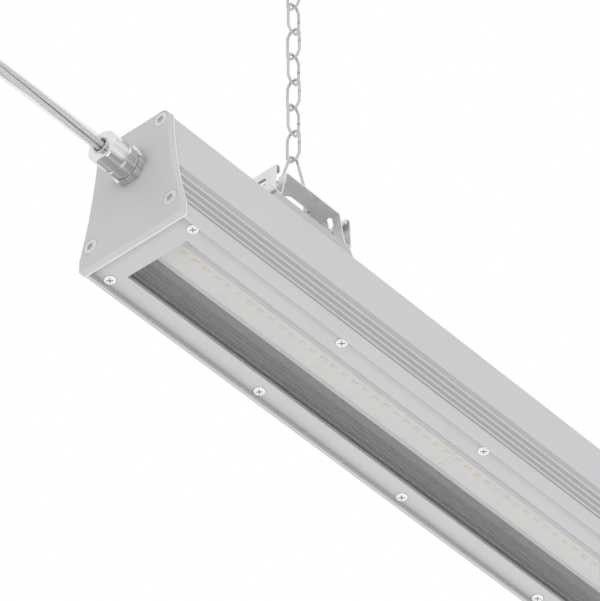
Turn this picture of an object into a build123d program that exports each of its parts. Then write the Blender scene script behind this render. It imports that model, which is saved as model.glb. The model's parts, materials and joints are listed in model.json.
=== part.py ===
from build123d import *
import math
import os

os.makedirs("parts", exist_ok=True)

# An aluminium LED batten light that hangs level on two short chains.
# The origin is on the ceiling plane over the front bracket. +X runs along the
# lamp away from the cable gland, +Z is up, and heights inside the lamp are
# counted from the outer face of the bezel frame.

# Lamp length: the bezel screws stand at an even pitch
screw_pitch = 140
screw_bays = 8
screw_end_margin = 14
front_overhang = 147
rear_overhang = 147

# Housing section, half widths and heights above the bezel face
lip_drop = 3.1
lip_inner_half = 39.8
side_half = 42.3
side_straight_height = 7
top_half = 29.3
housing_top = 93.2
side_radius = 420
top_corner_radius = 4.9
lip_corner_radius = 1
side_wall = 4.6
top_wall = 3
web_underside = 17.5
web_thick = 4
groove_mouth = 1
# Each groove is an arc: its high edge, its low edge and its depth
grooves = [(47, 39.6, 2.6), (37.2, 31, 2.6), (28.6, 22.5, 2.6), (20.1, 14.1, 2.6), (11.7, 8.5, 1.4)]
board_rib_width = 3
board_rib_drop = 1.6
flange_half_inner = 29

# Slot along the top that takes the foot nuts
slot_neck_width = 8.4
slot_neck_depth = 2.6
slot_width = 14
slot_depth = 5
slot_wall = 2.2

# Bezel frame, glass and their seal
bezel_thick = 3.5
bezel_half = 39.5
bezel_end_gap = 0.3
window_half = 25.1
window_end_margin = 19.7
glass_thick = 3
glass_overlap = 3.9
glass_gasket_thick = 1.5
glass_gasket_step = 0.4
ledge_thick = 1.5
rebate_gap = 0.3
screw_row_half = 35
bezel_screw_radius = 2
bezel_head_radius = 4.05
bezel_head_dome = 0.8
bezel_sink_radius = 4.2
bezel_screw_length = 9.5
bezel_screw_tip = 0.4
screw_clearance = 0.1

# Light engine
board_length = 275
board_count = 4
board_half = 9.1
board_thick = 1.6
board_joint = 0.2
led_per_board = 27
led_length = 5
led_width = 3
led_height = 0.7
led_offset = 4.3
baffle_thick = 1.2
baffle_gap = 0.2
baffle_rib = 0.5

# Driver and wiring in the upper chamber
driver_length = 300
driver_half = 15
driver_height = 22
driver_edge = 1.5
driver_lug = 12
driver_lug_half = 12
driver_lug_corner = 3
driver_lug_thick = 2
driver_start = 80
driver_screw_radius = 1.8
driver_head_radius = 3.5
driver_head_height = 2
terminal_length = 28
terminal_half = 9
terminal_height = 14
terminal_edge = 1
terminal_start = 24
lead_radius = 1.3
lead_spacing = 5
lead_height = 8
lead_reach = 4
lead_drop = 9
lead_bend = 3
lead_gap = 0.2

# End caps and their seals
cap_thick = 5
cap_gasket_thick = 1.2
cap_overlap = 0.5
cap_top = 94
cap_corner_radius = 5
cap_low_corner = 2.6
cap_edge_radius = 0.8
gasket_proud = 0.3
gasket_window_half = 18
gasket_window_low = 26
gasket_window_high = 80
gasket_window_corner = 4
port_low = (33.7, 13.7)
port_high = (24, 87.3)
port_boss_radius = 4.9
cap_screw_radius = 3
cap_head_radius = 5.65
cap_head_recess = 0.2
cap_sink_radius = 6
cap_screw_length = 18

# Cable gland on the front cap: flange, body hexagon and nut
gland_height = 59.6
gland_flange_across = 24.4
gland_flange_thick = 5
gland_flange_chamfer = 0.8
gland_thread_radius = 10
gland_thread_spare = 1
gland_neck_radius = 10
gland_neck_length = 1
gland_hex_across = 21.8
gland_hex_corner = 11.8
gland_hex_chamfer = 0.9
gland_body_length = 7.4
gland_nut_length = 14.6
gland_crown_drop = 1.8
gland_crown_length = 2.6
gland_rim_land = 0.3
gland_end_wall = 2.5
gland_bore_radius = 5.1
gland_mouth_radius = 5.9
gland_seal_radius = 7.5
gland_seal_grip = 2
gland_seal_proud = 0.4
locknut_thick = 3

# Power cable
cable_radius = 4.7
cable_gap = 0.05
cable_inside = 10
cable_straight_end = 288
cable_run = 28
cable_turn = 30
cable_bend_share = 0.45
coil_radius = 50
coil_turns = 2
coil_clearance = 0.3
strand_step = 9.6
strand_flat = 0.2
tail_length = 50
conductor_radius = 1.5
conductor_gap = 0.1
conductor_bare = 30
tie_width = 8
tie_thick = 1
tie_corner = 3

# Mounting foot under each bracket
foot_half_width = 17.5
foot_height = 20.4
foot_top_half = 35.4
foot_slope = 0.6
foot_wall = 3.5
foot_screw_spread = 44
foot_boss_radius = 7
foot_floor = 5.5
foot_screw_radius = 2.5
foot_head_radius = 4.25
foot_head_height = 5
foot_head_sunk = 0.3
foot_key_across = 4
foot_key_depth = 2.5
foot_screw_grip = 4.5
nut_length = 18
nut_gap = 0.15

# Hanging bracket, a bent galvanised strip
strip_thick = 1
strip_half_width = 17.5
bracket_rise = 22.4
bracket_plate_half = 26
bracket_leg_spread = 5
bracket_web_half = 37.2
bracket_hook_lean = 1.1
bracket_hook_height = 23.1
bracket_lip_width = 3.3
bracket_lip_return = 4.6
bend_radius = 1.3
lip_radius = 1.5
centre_slot_length = 22
centre_slot_width = 9.6
end_slot_length = 8
end_slot_width = 4
end_slot_offset = 20
keyhole_offset = 9.2
keyhole_width = 4.2
keyhole_inset = 2
keyhole_outset = 1
keyhole_depth = 6.5
keyhole_slit_width = 2
keyhole_slit_depth = 15.5
hook_slot_half = 9.2
hook_slot_width = 4.6
hook_slot_height = 13.2
hook_hole_radius = 0.8
hook_hole_offset = 7.8
hook_hole_drop = 3.8
rivet_radius = 1
rivet_head_radius = 1.55
rivet_head_height = 0.8
rivet_length = 6
rivet_spread = 12
rivet_margin = 0.7

# Wire bail between bracket and chain
bail_wire = 2
bail_turn = -15
bail_foot_half = 8.8
bail_leg_half = 9.6
bail_shoulder_half = 8.5
bail_neck_half = 4.9
bail_crown_half = 2.8
bail_rise = 43
bail_leg_drop = 30
bail_shoulder_drop = 21.5
bail_neck_drop = 8.5
bail_toe = 4.5
bail_toe_bend = 1.6
bail_leg_bend = 10
bail_shoulder_bend = 12
bail_neck_bend = 12
bail_crown_bend = 2.4

# Chain
link_wire = 2
link_outer_width = 12.6
link_end_half = 2.6
link_slope = 4.4
link_side_bend = 2.2
link_end_bend = 2.4
link_pitch = 24
link_gap = 0.25
link_butt_gap = 0.3
links_per_chain = 7

# Ceiling hook
hook_plate_length = 44
hook_plate_width = 20
hook_plate_thick = 2.5
hook_plate_corner = 4
hook_wire = 4
hook_drop = 27.6
hook_half_width = 7.5
hook_neck = 5.5
hook_neck_bend = 3
hook_bend = 7.4
hook_shoulder = 12
hook_tip_height = 13
plate_hole_spacing = 28
plate_hole_radius = 2.25

# Heights worked out from the ceiling down
hook_wire_z = -hook_drop
link_length = link_pitch + link_wire + link_gap
top_link_top_z = hook_wire_z + hook_wire / 2 + link_wire / 2 + link_gap
bottom_link_z = top_link_top_z - link_length - (links_per_chain - 1) * link_pitch
bail_apex_z = bottom_link_z + link_wire / 2 + bail_wire / 2 + link_gap
bracket_plate_z = bail_apex_z - bail_rise
bracket_web_z = bracket_plate_z - bracket_rise
foot_top_z = bracket_web_z - strip_thick / 2
housing_top_z = foot_top_z - foot_height
bezel_face_z = housing_top_z - housing_top

# Places along the lamp
housing_length = screw_bays * screw_pitch + 2 * screw_end_margin
housing_front_x = -front_overhang
housing_rear_x = housing_front_x + housing_length
housing_centre_x = housing_front_x + housing_length / 2
rear_bracket_x = housing_rear_x - rear_overhang
hangers = {"front": 0, "rear": rear_bracket_x}
web_top = web_underside + web_thick
board_face = web_underside - board_thick
gasket_face = bezel_thick + glass_thick + glass_gasket_thick


def save(piece, node):
    """Name a finished piece and write it to its own file."""
    piece.part.label = node
    export_step(piece.part, f"parts/{node}.step")


def side_width(height, extra=0):
    """Half width of the hollow side at a height, on its one large arc."""
    low = (side_half + extra, side_straight_height)
    high = (top_half + extra, housing_top)
    chord = math.dist(low, high)
    across = (high[0] - low[0]) / chord
    upward = (high[1] - low[1]) / chord
    reach = math.sqrt(side_radius**2 - chord**2 / 4)
    centre_w = (low[0] + high[0]) / 2 + upward * reach
    centre_h = (low[1] + high[1]) / 2 - across * reach
    return centre_w - math.sqrt(side_radius**2 - (height - centre_h) ** 2)


def side_arc(low_height, high_height, extra=0):
    """Arc of the lamp's hollow side between two heights."""
    middle = (low_height + high_height) / 2
    return ThreePointArc(
        (side_width(low_height, extra), low_height),
        (side_width(middle, extra), middle),
        (side_width(high_height, extra), high_height),
    )


def section_plane(x):
    """Plane across the lamp whose own Y is the height above the bezel face."""
    return Plane(origin=(x, 0, bezel_face_z), x_dir=(0, 1, 0), z_dir=(1, 0, 0))


def level_plane(height):
    """Level plane in the lamp, centred on the housing."""
    return Plane(origin=(housing_centre_x, 0, bezel_face_z + height))


def long_plane(x, z=0):
    """Upright plane along the lamp through its centre line."""
    return Plane(origin=(x, 0, z), x_dir=(1, 0, 0), z_dir=(0, -1, 0))


def lamp_outline(top, extra, corner, low_corner):
    """Closed outline of the lamp's section, as a face in the open sketch."""
    with BuildLine() as border:
        Line((0, -lip_drop), (side_half + extra, -lip_drop))
        Line((side_half + extra, -lip_drop), (side_half + extra, side_straight_height))
        side_arc(side_straight_height, top, extra)
        Line((side_width(top, extra), top), (0, top))
        mirror(about=Plane.YZ)
    outline = make_face(border.line.edges())
    fillet(outline.vertices().sort_by(Axis.Y)[-2:], corner)
    fillet(outline.vertices().sort_by(Axis.Y)[:2], low_corner)


bezel_screw_places = [
    (housing_front_x + screw_end_margin + bay * screw_pitch, side * screw_row_half)
    for bay in range(screw_bays + 1)
    for side in (-1, 1)
]
cap_ports = [(side * w, h) for w, h in (port_low, port_high) for side in (-1, 1)]

# Housing extrusion
with BuildPart() as housing:
    with BuildSketch(section_plane(housing_front_x)) as housing_section:
        lamp_outline(housing_top, 0, top_corner_radius, lip_corner_radius)
        # Recess for the bezel frame, rebate for glass and seal, light chamber
        with Locations((0, (bezel_thick - lip_drop) / 2)):
            Rectangle(2 * lip_inner_half, bezel_thick + lip_drop, mode=Mode.SUBTRACT)
        with Locations((0, (bezel_thick + gasket_face) / 2)):
            rebate_half = window_half + glass_overlap + rebate_gap
            Rectangle(2 * rebate_half, gasket_face - bezel_thick, mode=Mode.SUBTRACT)
        with Locations((0, gasket_face + ledge_thick / 2)):
            ledge_half = window_half + glass_gasket_step
            Rectangle(2 * ledge_half, ledge_thick, mode=Mode.SUBTRACT)
        chamber_floor = gasket_face + ledge_thick
        with Locations((0, (chamber_floor + web_underside) / 2)):
            Rectangle(2 * flange_half_inner, web_underside - chamber_floor, mode=Mode.SUBTRACT)
        # Upper chamber follows the side walls
        chamber_top = housing_top - top_wall
        with BuildLine():
            Line((0, web_top), (side_width(web_top, -side_wall), web_top))
            side_arc(web_top, chamber_top, -side_wall)
            Line((side_width(chamber_top, -side_wall), chamber_top), (0, chamber_top))
            mirror(about=Plane.YZ)
        make_face(mode=Mode.SUBTRACT)
        # Slot for the foot nuts hangs from the top wall
        slot_top = housing_top - slot_neck_depth
        slot_floor = slot_top - slot_depth
        with Locations((0, (slot_floor - slot_wall + chamber_top) / 2)):
            Rectangle(slot_width + 2 * slot_wall, chamber_top - slot_floor + slot_wall)
        with Locations((0, (slot_floor + slot_top) / 2)):
            Rectangle(slot_width, slot_depth, mode=Mode.SUBTRACT)
        with Locations((0, housing_top - slot_neck_depth / 2)):
            Rectangle(slot_neck_width, slot_neck_depth, mode=Mode.SUBTRACT)
        # Screw ports for the end caps
        with Locations(*[(side * port_high[0], port_high[1]) for side in (-1, 1)]):
            Circle(port_boss_radius)
        with Locations(*cap_ports):
            Circle(cap_screw_radius + screw_clearance, mode=Mode.SUBTRACT)
        # Ribs that locate the boards under the web
        for side in (-1, 1):
            rib_centre = side * (board_half + screw_clearance + board_rib_width / 2)
            with Locations((rib_centre, web_underside - board_rib_drop / 2)):
                Rectangle(board_rib_width, board_rib_drop)
        # Long cooling grooves down both sides
        for side in (-1, 1):
            for high, low, depth in grooves:
                middle = (high + low) / 2
                high_edge = (side * side_width(high), high)
                low_edge = (side * side_width(low), low)
                outside = side * (side_half + groove_mouth)
                with BuildLine():
                    deepest = (side * (side_width(middle) - depth), middle)
                    ThreePointArc(high_edge, deepest, low_edge)
                    Polyline(low_edge, (outside, low), (outside, high), high_edge)
                make_face(mode=Mode.SUBTRACT)
    extrude(amount=housing_length)
    # Blind holes for the bezel screws
    with BuildSketch(Plane.XY.offset(bezel_face_z + bezel_thick)):
        with Locations(*bezel_screw_places):
            Circle(bezel_screw_radius + screw_clearance)
    extrude(amount=bezel_screw_length - bezel_thick + bezel_screw_tip, mode=Mode.SUBTRACT)
save(housing, "housing_extrusion")

# Bezel frame with its window
window_length = housing_length - 2 * window_end_margin
with BuildPart() as bezel_frame:
    with BuildSketch(level_plane(0)):
        Rectangle(housing_length - 2 * bezel_end_gap, 2 * bezel_half)
        Rectangle(window_length, 2 * window_half, mode=Mode.SUBTRACT)
    extrude(amount=bezel_thick)
    with BuildSketch(Plane.XY.offset(bezel_face_z)):
        with Locations(*bezel_screw_places):
            Circle(bezel_screw_radius + 2 * screw_clearance)
    extrude(amount=bezel_thick, mode=Mode.SUBTRACT)
    # Sinks for the screw heads, cones cut from the outer face
    with BuildSketch(Plane.XY.offset(bezel_face_z)):
        with Locations(*bezel_screw_places):
            Circle(bezel_sink_radius)
    extrude(amount=bezel_sink_radius - bezel_screw_radius, taper=45, mode=Mode.SUBTRACT)
save(bezel_frame, "bezel_frame")

# Bezel screws, countersunk with a low raised head
with BuildPart() as bezel_screws:
    with BuildSketch(Plane.XY.offset(bezel_face_z + bezel_head_radius - bezel_screw_radius)):
        with Locations(*bezel_screw_places):
            Circle(bezel_screw_radius)
    extrude(amount=bezel_screw_length - bezel_head_radius + bezel_screw_radius)
    with BuildSketch(Plane.XY.offset(bezel_face_z)):
        with Locations(*bezel_screw_places):
            Circle(bezel_head_radius)
    extrude(amount=bezel_head_radius - bezel_screw_radius, taper=45)
    with BuildSketch(Plane.XY.offset(bezel_face_z)):
        with Locations(*bezel_screw_places):
            Circle(bezel_head_radius)
    extrude(amount=-bezel_head_dome, taper=60)
save(bezel_screws, "bezel_screws")

# Glass and its seal
glass_length = window_length + 2 * glass_overlap
glass_half = window_half + glass_overlap
with BuildPart() as glass:
    with BuildSketch(level_plane(bezel_thick)):
        Rectangle(glass_length, 2 * glass_half)
    extrude(amount=glass_thick)
save(glass, "glass_cover")

with BuildPart() as glass_gasket:
    with BuildSketch(level_plane(bezel_thick + glass_thick)):
        Rectangle(glass_length, 2 * glass_half)
        opening_length = window_length + 2 * glass_gasket_step
        Rectangle(opening_length, 2 * (window_half + glass_gasket_step), mode=Mode.SUBTRACT)
    extrude(amount=glass_gasket_thick)
save(glass_gasket, "glass_gasket")

# Circuit boards with one row of light emitters
board_start_x = housing_centre_x - board_count * board_length / 2
for board_index in range(board_count):
    board_x = board_start_x + board_index * board_length + board_length / 2
    with BuildPart() as board:
        with BuildSketch(Plane(origin=(board_x, 0, bezel_face_z + board_face))):
            Rectangle(board_length - board_joint, 2 * board_half)
        extrude(amount=board_thick)
    save(board, f"led_board_{board_index + 1}")

led_total = board_count * led_per_board
led_pitch = board_length / led_per_board
with BuildPart() as led_chips:
    with BuildSketch(level_plane(board_face)):
        with Locations((0, -led_offset)):
            with GridLocations(led_pitch, 1, led_total, 1):
                Rectangle(led_length, led_width)
    extrude(amount=-led_height)
save(led_chips, "led_chips")

# Dark baffles between the board ribs and the ledges
baffle_length = board_count * board_length
baffle_inner = board_half + screw_clearance + board_rib_width + baffle_gap
baffle_outer = window_half + glass_gasket_step - baffle_gap
baffle_low = gasket_face + 0.1
baffle_foot_half = flange_half_inner - baffle_gap
baffle_foot_z = gasket_face + ledge_thick


def baffle_point(share, lift=0):
    """Point on the sloping face, from the board side out, and its lift."""
    across = baffle_inner + share * (baffle_outer - baffle_inner)
    height = board_face + share * (baffle_low - board_face)
    return (across, height + lift)


for side, name in ((-1, "left"), (1, "right")):
    with BuildPart() as baffle:
        with BuildSketch(section_plane(housing_centre_x - baffle_length / 2)):
            with BuildLine():
                outline = [
                    baffle_point(0),
                    baffle_point(0.33),
                    baffle_point(0.35, -baffle_rib),
                    baffle_point(0.37),
                    baffle_point(0.73),
                    baffle_point(0.75, -baffle_rib),
                    baffle_point(0.77),
                    baffle_point(1),
                    (baffle_outer, baffle_foot_z + 0.1),
                    (baffle_foot_half, baffle_foot_z + 0.1),
                    (baffle_foot_half, baffle_foot_z + 0.1 + baffle_thick),
                    (baffle_outer - baffle_thick, baffle_foot_z + 0.1 + baffle_thick),
                    (baffle_inner + baffle_thick, board_face + baffle_thick / 2),
                    (baffle_inner + baffle_thick, web_underside - 0.1),
                    (baffle_inner, web_underside - 0.1),
                ]
                Polyline(*[(side * w, h) for w, h in outline], close=True)
            make_face()
        extrude(amount=baffle_length)
    save(baffle, f"side_baffle_{name}")

# Driver on the web, held by a screwed lug at each end
driver_centre_x = housing_front_x + driver_start + driver_length / 2
driver_floor_z = bezel_face_z + web_top
driver_full = driver_length + 2 * driver_lug
driver_screw_spacing = driver_length + driver_lug
with BuildPart() as driver:
    with BuildSketch(Plane(origin=(driver_centre_x, 0, driver_floor_z))):
        RectangleRounded(driver_full, 2 * driver_lug_half, driver_lug_corner)
        with GridLocations(driver_screw_spacing, 1, 2, 1):
            Circle(driver_screw_radius + screw_clearance, mode=Mode.SUBTRACT)
    extrude(amount=driver_lug_thick)
    with BuildSketch(Plane(origin=(driver_centre_x, 0, driver_floor_z))):
        Rectangle(driver_length, 2 * driver_half)
    extrude(amount=driver_height)
    chamfer(driver.edges().filter_by(Axis.X).group_by(Axis.Z)[-1], driver_edge)
save(driver, "led_driver")

with BuildPart() as driver_screws:
    lug_top = Plane(origin=(driver_centre_x, 0, driver_floor_z + driver_lug_thick))
    with BuildSketch(lug_top):
        with GridLocations(driver_screw_spacing, 1, 2, 1):
            Circle(driver_head_radius)
    extrude(amount=driver_head_height)
    with BuildSketch(lug_top):
        with GridLocations(driver_screw_spacing, 1, 2, 1):
            Circle(driver_screw_radius)
    extrude(amount=-driver_lug_thick)
save(driver_screws, "driver_screws")

# Terminal block with three ways through
terminal_x = housing_front_x + terminal_start
terminal_end_x = terminal_x + terminal_length
with BuildPart() as terminal_block:
    with BuildSketch(section_plane(terminal_x)):
        with Locations((0, web_top + terminal_height / 2)):
            Rectangle(2 * terminal_half, terminal_height)
        with Locations((0, web_top + lead_height)):
            with GridLocations(lead_spacing, 1, 3, 1):
                Circle(lead_radius + screw_clearance, mode=Mode.SUBTRACT)
    extrude(amount=terminal_length)
    chamfer(terminal_block.edges().filter_by(Axis.X).group_by(Axis.Z)[-1], terminal_edge)
save(terminal_block, "terminal_block")

# Cap and gland places on the front end
front_gasket_x = housing_front_x - cap_gasket_thick
front_cap_x = front_gasket_x - cap_thick
gland_z = bezel_face_z + gland_height
cable_inner_x = housing_front_x + cable_inside

# Inner leads: supply conductors down to the terminals, and on to the driver
with BuildPart() as inner_leads:
    lead_z = bezel_face_z + web_top + lead_height
    for way in (-1, 0, 1):
        lead_y = way * lead_spacing
        supply_y = way * 2 * (lead_radius + screw_clearance)
        with BuildLine() as drop_path:
            FilletPolyline(
                (cable_inner_x + lead_gap, supply_y, gland_z),
                (cable_inner_x + lead_drop, supply_y, gland_z),
                (cable_inner_x + lead_drop, lead_y, lead_z),
                (terminal_x + lead_reach, lead_y, lead_z),
                radius=lead_bend,
            )
        with BuildSketch(Plane(origin=drop_path.line @ 0, z_dir=drop_path.line % 0)):
            Circle(lead_radius)
        sweep(path=drop_path.line)
        driver_lead_x = driver_centre_x - driver_length / 2
        output_x = terminal_end_x - lead_reach
        with BuildSketch(Plane(origin=(output_x, lead_y, lead_z), z_dir=(1, 0, 0))):
            Circle(lead_radius)
        extrude(amount=driver_lead_x - output_x - lead_gap)
save(inner_leads, "inner_leads")


def end_parts(end, outer_x, gasket_x, outward, ported):
    """Cap, seal and countersunk screws of one end of the lamp."""
    with BuildPart() as gasket:
        with BuildSketch(section_plane(gasket_x)):
            seal_extra = cap_overlap + gasket_proud
            lamp_outline(cap_top + gasket_proud, seal_extra, cap_corner_radius, cap_low_corner)
            with Locations((0, (gasket_window_low + gasket_window_high) / 2)):
                RectangleRounded(
                    2 * gasket_window_half,
                    gasket_window_high - gasket_window_low,
                    gasket_window_corner,
                    mode=Mode.SUBTRACT,
                )
            with Locations(*cap_ports):
                Circle(cap_screw_radius + screw_clearance, mode=Mode.SUBTRACT)
        extrude(amount=cap_gasket_thick)
    save(gasket, f"end_gasket_{end}")

    head_depth = cap_head_radius - cap_screw_radius
    face_x = outer_x if outward < 0 else outer_x + cap_thick
    face_plane = Plane(origin=(face_x, 0, bezel_face_z), x_dir=(0, outward, 0), z_dir=(outward, 0, 0))
    with BuildPart() as cap:
        with BuildSketch(section_plane(outer_x)):
            lamp_outline(cap_top, cap_overlap, cap_corner_radius, cap_low_corner)
            if ported:
                with Locations((0, gland_height)):
                    Circle(gland_thread_radius + screw_clearance, mode=Mode.SUBTRACT)
        extrude(amount=cap_thick)
        outer_face = cap.faces().sort_by(Axis.X)[0 if outward < 0 else -1]
        fillet(outer_face.outer_wire().edges(), cap_edge_radius)
        with Locations(face_plane):
            with Locations(*cap_ports):
                CounterSinkHole(
                    radius=cap_screw_radius + screw_clearance,
                    counter_sink_radius=cap_sink_radius,
                    depth=cap_thick,
                    counter_sink_angle=90,
                )
    save(cap, f"end_cap_{end}")

    with BuildPart() as screws:
        with BuildSketch(face_plane.offset(-cap_head_recess)):
            with Locations(*cap_ports):
                Circle(cap_head_radius)
        extrude(amount=-head_depth, taper=45)
        with BuildSketch(face_plane.offset(-cap_head_recess - head_depth / 2)):
            with Locations(*cap_ports):
                Circle(cap_screw_radius)
        extrude(amount=head_depth / 2 - cap_screw_length)
    save(screws, f"end_cap_screws_{end}")


end_parts("front", front_cap_x, front_gasket_x, -1, True)
end_parts("rear", housing_rear_x + cap_gasket_thick, housing_rear_x, 1, False)

# Gland: hex flange, short neck and hexagon, with a thread through the cap
gland_flange_x = front_cap_x - gland_flange_thick
gland_neck_x = gland_flange_x - gland_neck_length
gland_body_x = gland_neck_x - gland_body_length
gland_nut_x = gland_body_x - gland_nut_length
locknut_end_x = housing_front_x + locknut_thick
seal_seat_x = gland_body_x + gland_seal_grip


def gland_plane(x):
    """Plane across the gland's axis, facing along the lamp."""
    return Plane(origin=(x, 0, gland_z), x_dir=(0, 1, 0), z_dir=(1, 0, 0))


gland_axis = Axis((0, 0, gland_z), (1, 0, 0))
hex_flat = gland_hex_across / 2

with BuildPart() as gland_body:
    with BuildSketch(gland_plane(gland_body_x)):
        RegularPolygon(hex_flat, 6, major_radius=False)
    extrude(amount=gland_body_length)
    # Turned envelope that rounds the corners and bevels both ends
    with BuildSketch(long_plane(0, gland_z)):
        with BuildLine():
            Polyline(
                (gland_body_x, 0),
                (gland_body_x, hex_flat),
                (gland_body_x + gland_hex_chamfer, gland_hex_corner),
                (gland_neck_x - gland_hex_chamfer, gland_hex_corner),
                (gland_neck_x, hex_flat),
                (gland_neck_x, 0),
                close=True,
            )
        make_face()
    revolve(axis=gland_axis, mode=Mode.INTERSECT)
    with BuildSketch(gland_plane(gland_neck_x)):
        Circle(gland_neck_radius)
    extrude(amount=gland_neck_length)
    with BuildSketch(gland_plane(gland_flange_x)):
        RegularPolygon(gland_flange_across / 2, 6, major_radius=False)
    extrude(amount=gland_flange_thick)
    # Straight edges in order along the axis: hexagon, then the flange's front
    flange_front = gland_body.edges().filter_by(GeomType.LINE).group_by(Axis.X)[1]
    chamfer(flange_front, gland_flange_chamfer)
    with BuildSketch(gland_plane(front_cap_x)):
        Circle(gland_thread_radius)
    extrude(amount=locknut_end_x + gland_thread_spare - front_cap_x)
    with BuildSketch(gland_plane(gland_body_x)):
        Circle(gland_bore_radius)
    extrude(amount=locknut_end_x + gland_thread_spare - gland_body_x, mode=Mode.SUBTRACT)
    with BuildSketch(gland_plane(gland_body_x)):
        Circle(gland_seal_radius + screw_clearance)
    extrude(amount=gland_seal_grip, mode=Mode.SUBTRACT)
save(gland_body, "gland_body")

# Gland nut: the same hexagon behind a rounded crown
crown_share = 1 - math.sqrt(0.5)
with BuildPart() as gland_nut:
    with BuildSketch(gland_plane(gland_nut_x)):
        RegularPolygon(hex_flat, 6, major_radius=False)
    extrude(amount=gland_nut_length)
    with BuildSketch(long_plane(0, gland_z)):
        with BuildLine():
            crown_start = (gland_nut_x, gland_hex_corner - gland_crown_drop)
            crown_middle = (
                gland_nut_x + crown_share * gland_crown_length,
                gland_hex_corner - crown_share * gland_crown_drop,
            )
            crown_end = (gland_nut_x + gland_crown_length, gland_hex_corner)
            ThreePointArc(crown_start, crown_middle, crown_end)
            Polyline(
                crown_end,
                (gland_body_x - gland_hex_chamfer, gland_hex_corner),
                (gland_body_x, hex_flat + gland_rim_land),
                (gland_body_x, 0),
                (gland_nut_x, 0),
                crown_start,
            )
        make_face()
    revolve(axis=gland_axis, mode=Mode.INTERSECT)
    with BuildSketch(gland_plane(gland_nut_x + gland_end_wall)):
        Circle(gland_seal_radius + screw_clearance)
    extrude(amount=gland_nut_length, mode=Mode.SUBTRACT)
    with BuildSketch(gland_plane(gland_nut_x)):
        Circle(gland_mouth_radius)
    extrude(amount=gland_end_wall, mode=Mode.SUBTRACT)
save(gland_nut, "gland_nut")

with BuildPart() as gland_seal:
    with BuildSketch(gland_plane(gland_nut_x + gland_end_wall)):
        Circle(gland_seal_radius)
    extrude(amount=seal_seat_x - gland_nut_x - gland_end_wall)
    with BuildSketch(gland_plane(gland_nut_x - gland_seal_proud)):
        Circle(gland_mouth_radius - screw_clearance)
    extrude(amount=gland_end_wall + gland_seal_proud)
    with BuildSketch(gland_plane(gland_nut_x - gland_seal_proud)):
        Circle(cable_radius + cable_gap)
    extrude(amount=seal_seat_x - gland_nut_x + gland_seal_proud, mode=Mode.SUBTRACT)
save(gland_seal, "gland_seal")

with BuildPart() as gland_locknut:
    with BuildSketch(gland_plane(housing_front_x)):
        RegularPolygon(gland_flange_across / 2, 6, major_radius=False)
        Circle(gland_thread_radius + screw_clearance, mode=Mode.SUBTRACT)
    extrude(amount=locknut_thick)
save(gland_locknut, "gland_locknut")

# Power cable: straight out of the gland, then bending down to its coil
turn = math.radians(cable_turn)
route = [(cable_inner_x, gland_z), (-cable_straight_end, gland_z)]
for step in (1, 2):
    last_x, last_z = route[-1]
    next_x = last_x - cable_run * math.cos(step * turn)
    next_z = last_z - cable_run * math.sin(step * turn)
    route.append((next_x, next_z))
route.append((route[-1][0], route[-1][1] - cable_run))
route_radii = [cable_bend_share * cable_run / math.tan(turn / 2)] * 3

with BuildPart() as power_cable:
    with BuildLine() as cable_path:
        FilletPolyline(*[(x, 0, z) for x, z in route], radius=route_radii)
    with BuildSketch(Plane(origin=cable_path.line @ 0, z_dir=cable_path.line % 0)):
        Circle(cable_radius)
    sweep(path=cable_path.line)
save(power_cable, "power_cable")

# Coil in one upright ring, its turns side by side
coil_inner = coil_radius - cable_radius
coil_outer = coil_radius + cable_radius
coil_x = route[-1][0] - coil_radius
coil_entry = math.sqrt(coil_outer**2 - coil_inner**2) + coil_clearance
coil_z = route[-1][1] - coil_entry
coil_width = coil_turns * strand_step + 2 * cable_radius
coil_y = coil_turns * strand_step / 2
coil_axis = Axis((coil_x, 0, coil_z), (0, 1, 0))
with BuildPart() as cable_coil:
    with BuildSketch(Plane(origin=(coil_x + coil_radius, coil_y, coil_z))):
        RectangleRounded(2 * cable_radius, coil_width, cable_radius - strand_flat / 2)
    revolve(axis=coil_axis)
save(cable_coil, "cable_coil")

# Tail that hangs from the coil, with the three conductors bared
tail_x = coil_x + coil_radius
tail_y = coil_turns * strand_step
tail_top_z = coil_z - coil_entry
with BuildPart() as cable_tail:
    with BuildSketch(Plane(origin=(tail_x, tail_y, tail_top_z), z_dir=(0, 0, -1))):
        Circle(cable_radius)
    extrude(amount=tail_length)
save(cable_tail, "cable_tail")

with BuildPart() as cable_conductors:
    with BuildSketch(Plane(origin=(tail_x, tail_y, tail_top_z - tail_length), z_dir=(0, 0, -1))):
        with PolarLocations(2 * (conductor_radius + conductor_gap) / math.sqrt(3), 3):
            Circle(conductor_radius)
    extrude(amount=conductor_bare)
save(cable_conductors, "cable_conductors")

# Ties round the coil at its top and bottom
with BuildPart() as cable_ties:
    for up in (-1, 1):
        tie_plane = Plane(
            origin=(coil_x - tie_width / 2, coil_y, coil_z + up * coil_radius),
            x_dir=(0, 1, 0),
            z_dir=(1, 0, 0),
        )
        hole_width = coil_width + 2 * coil_clearance
        hole_height = 2 * cable_radius + 2 * coil_clearance
        with BuildSketch(tie_plane):
            RectangleRounded(hole_width + 2 * tie_thick, hole_height + 2 * tie_thick, tie_corner)
            RectangleRounded(hole_width, hole_height, tie_corner - tie_thick, mode=Mode.SUBTRACT)
        extrude(amount=tie_width)
save(cable_ties, "cable_ties")


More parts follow.
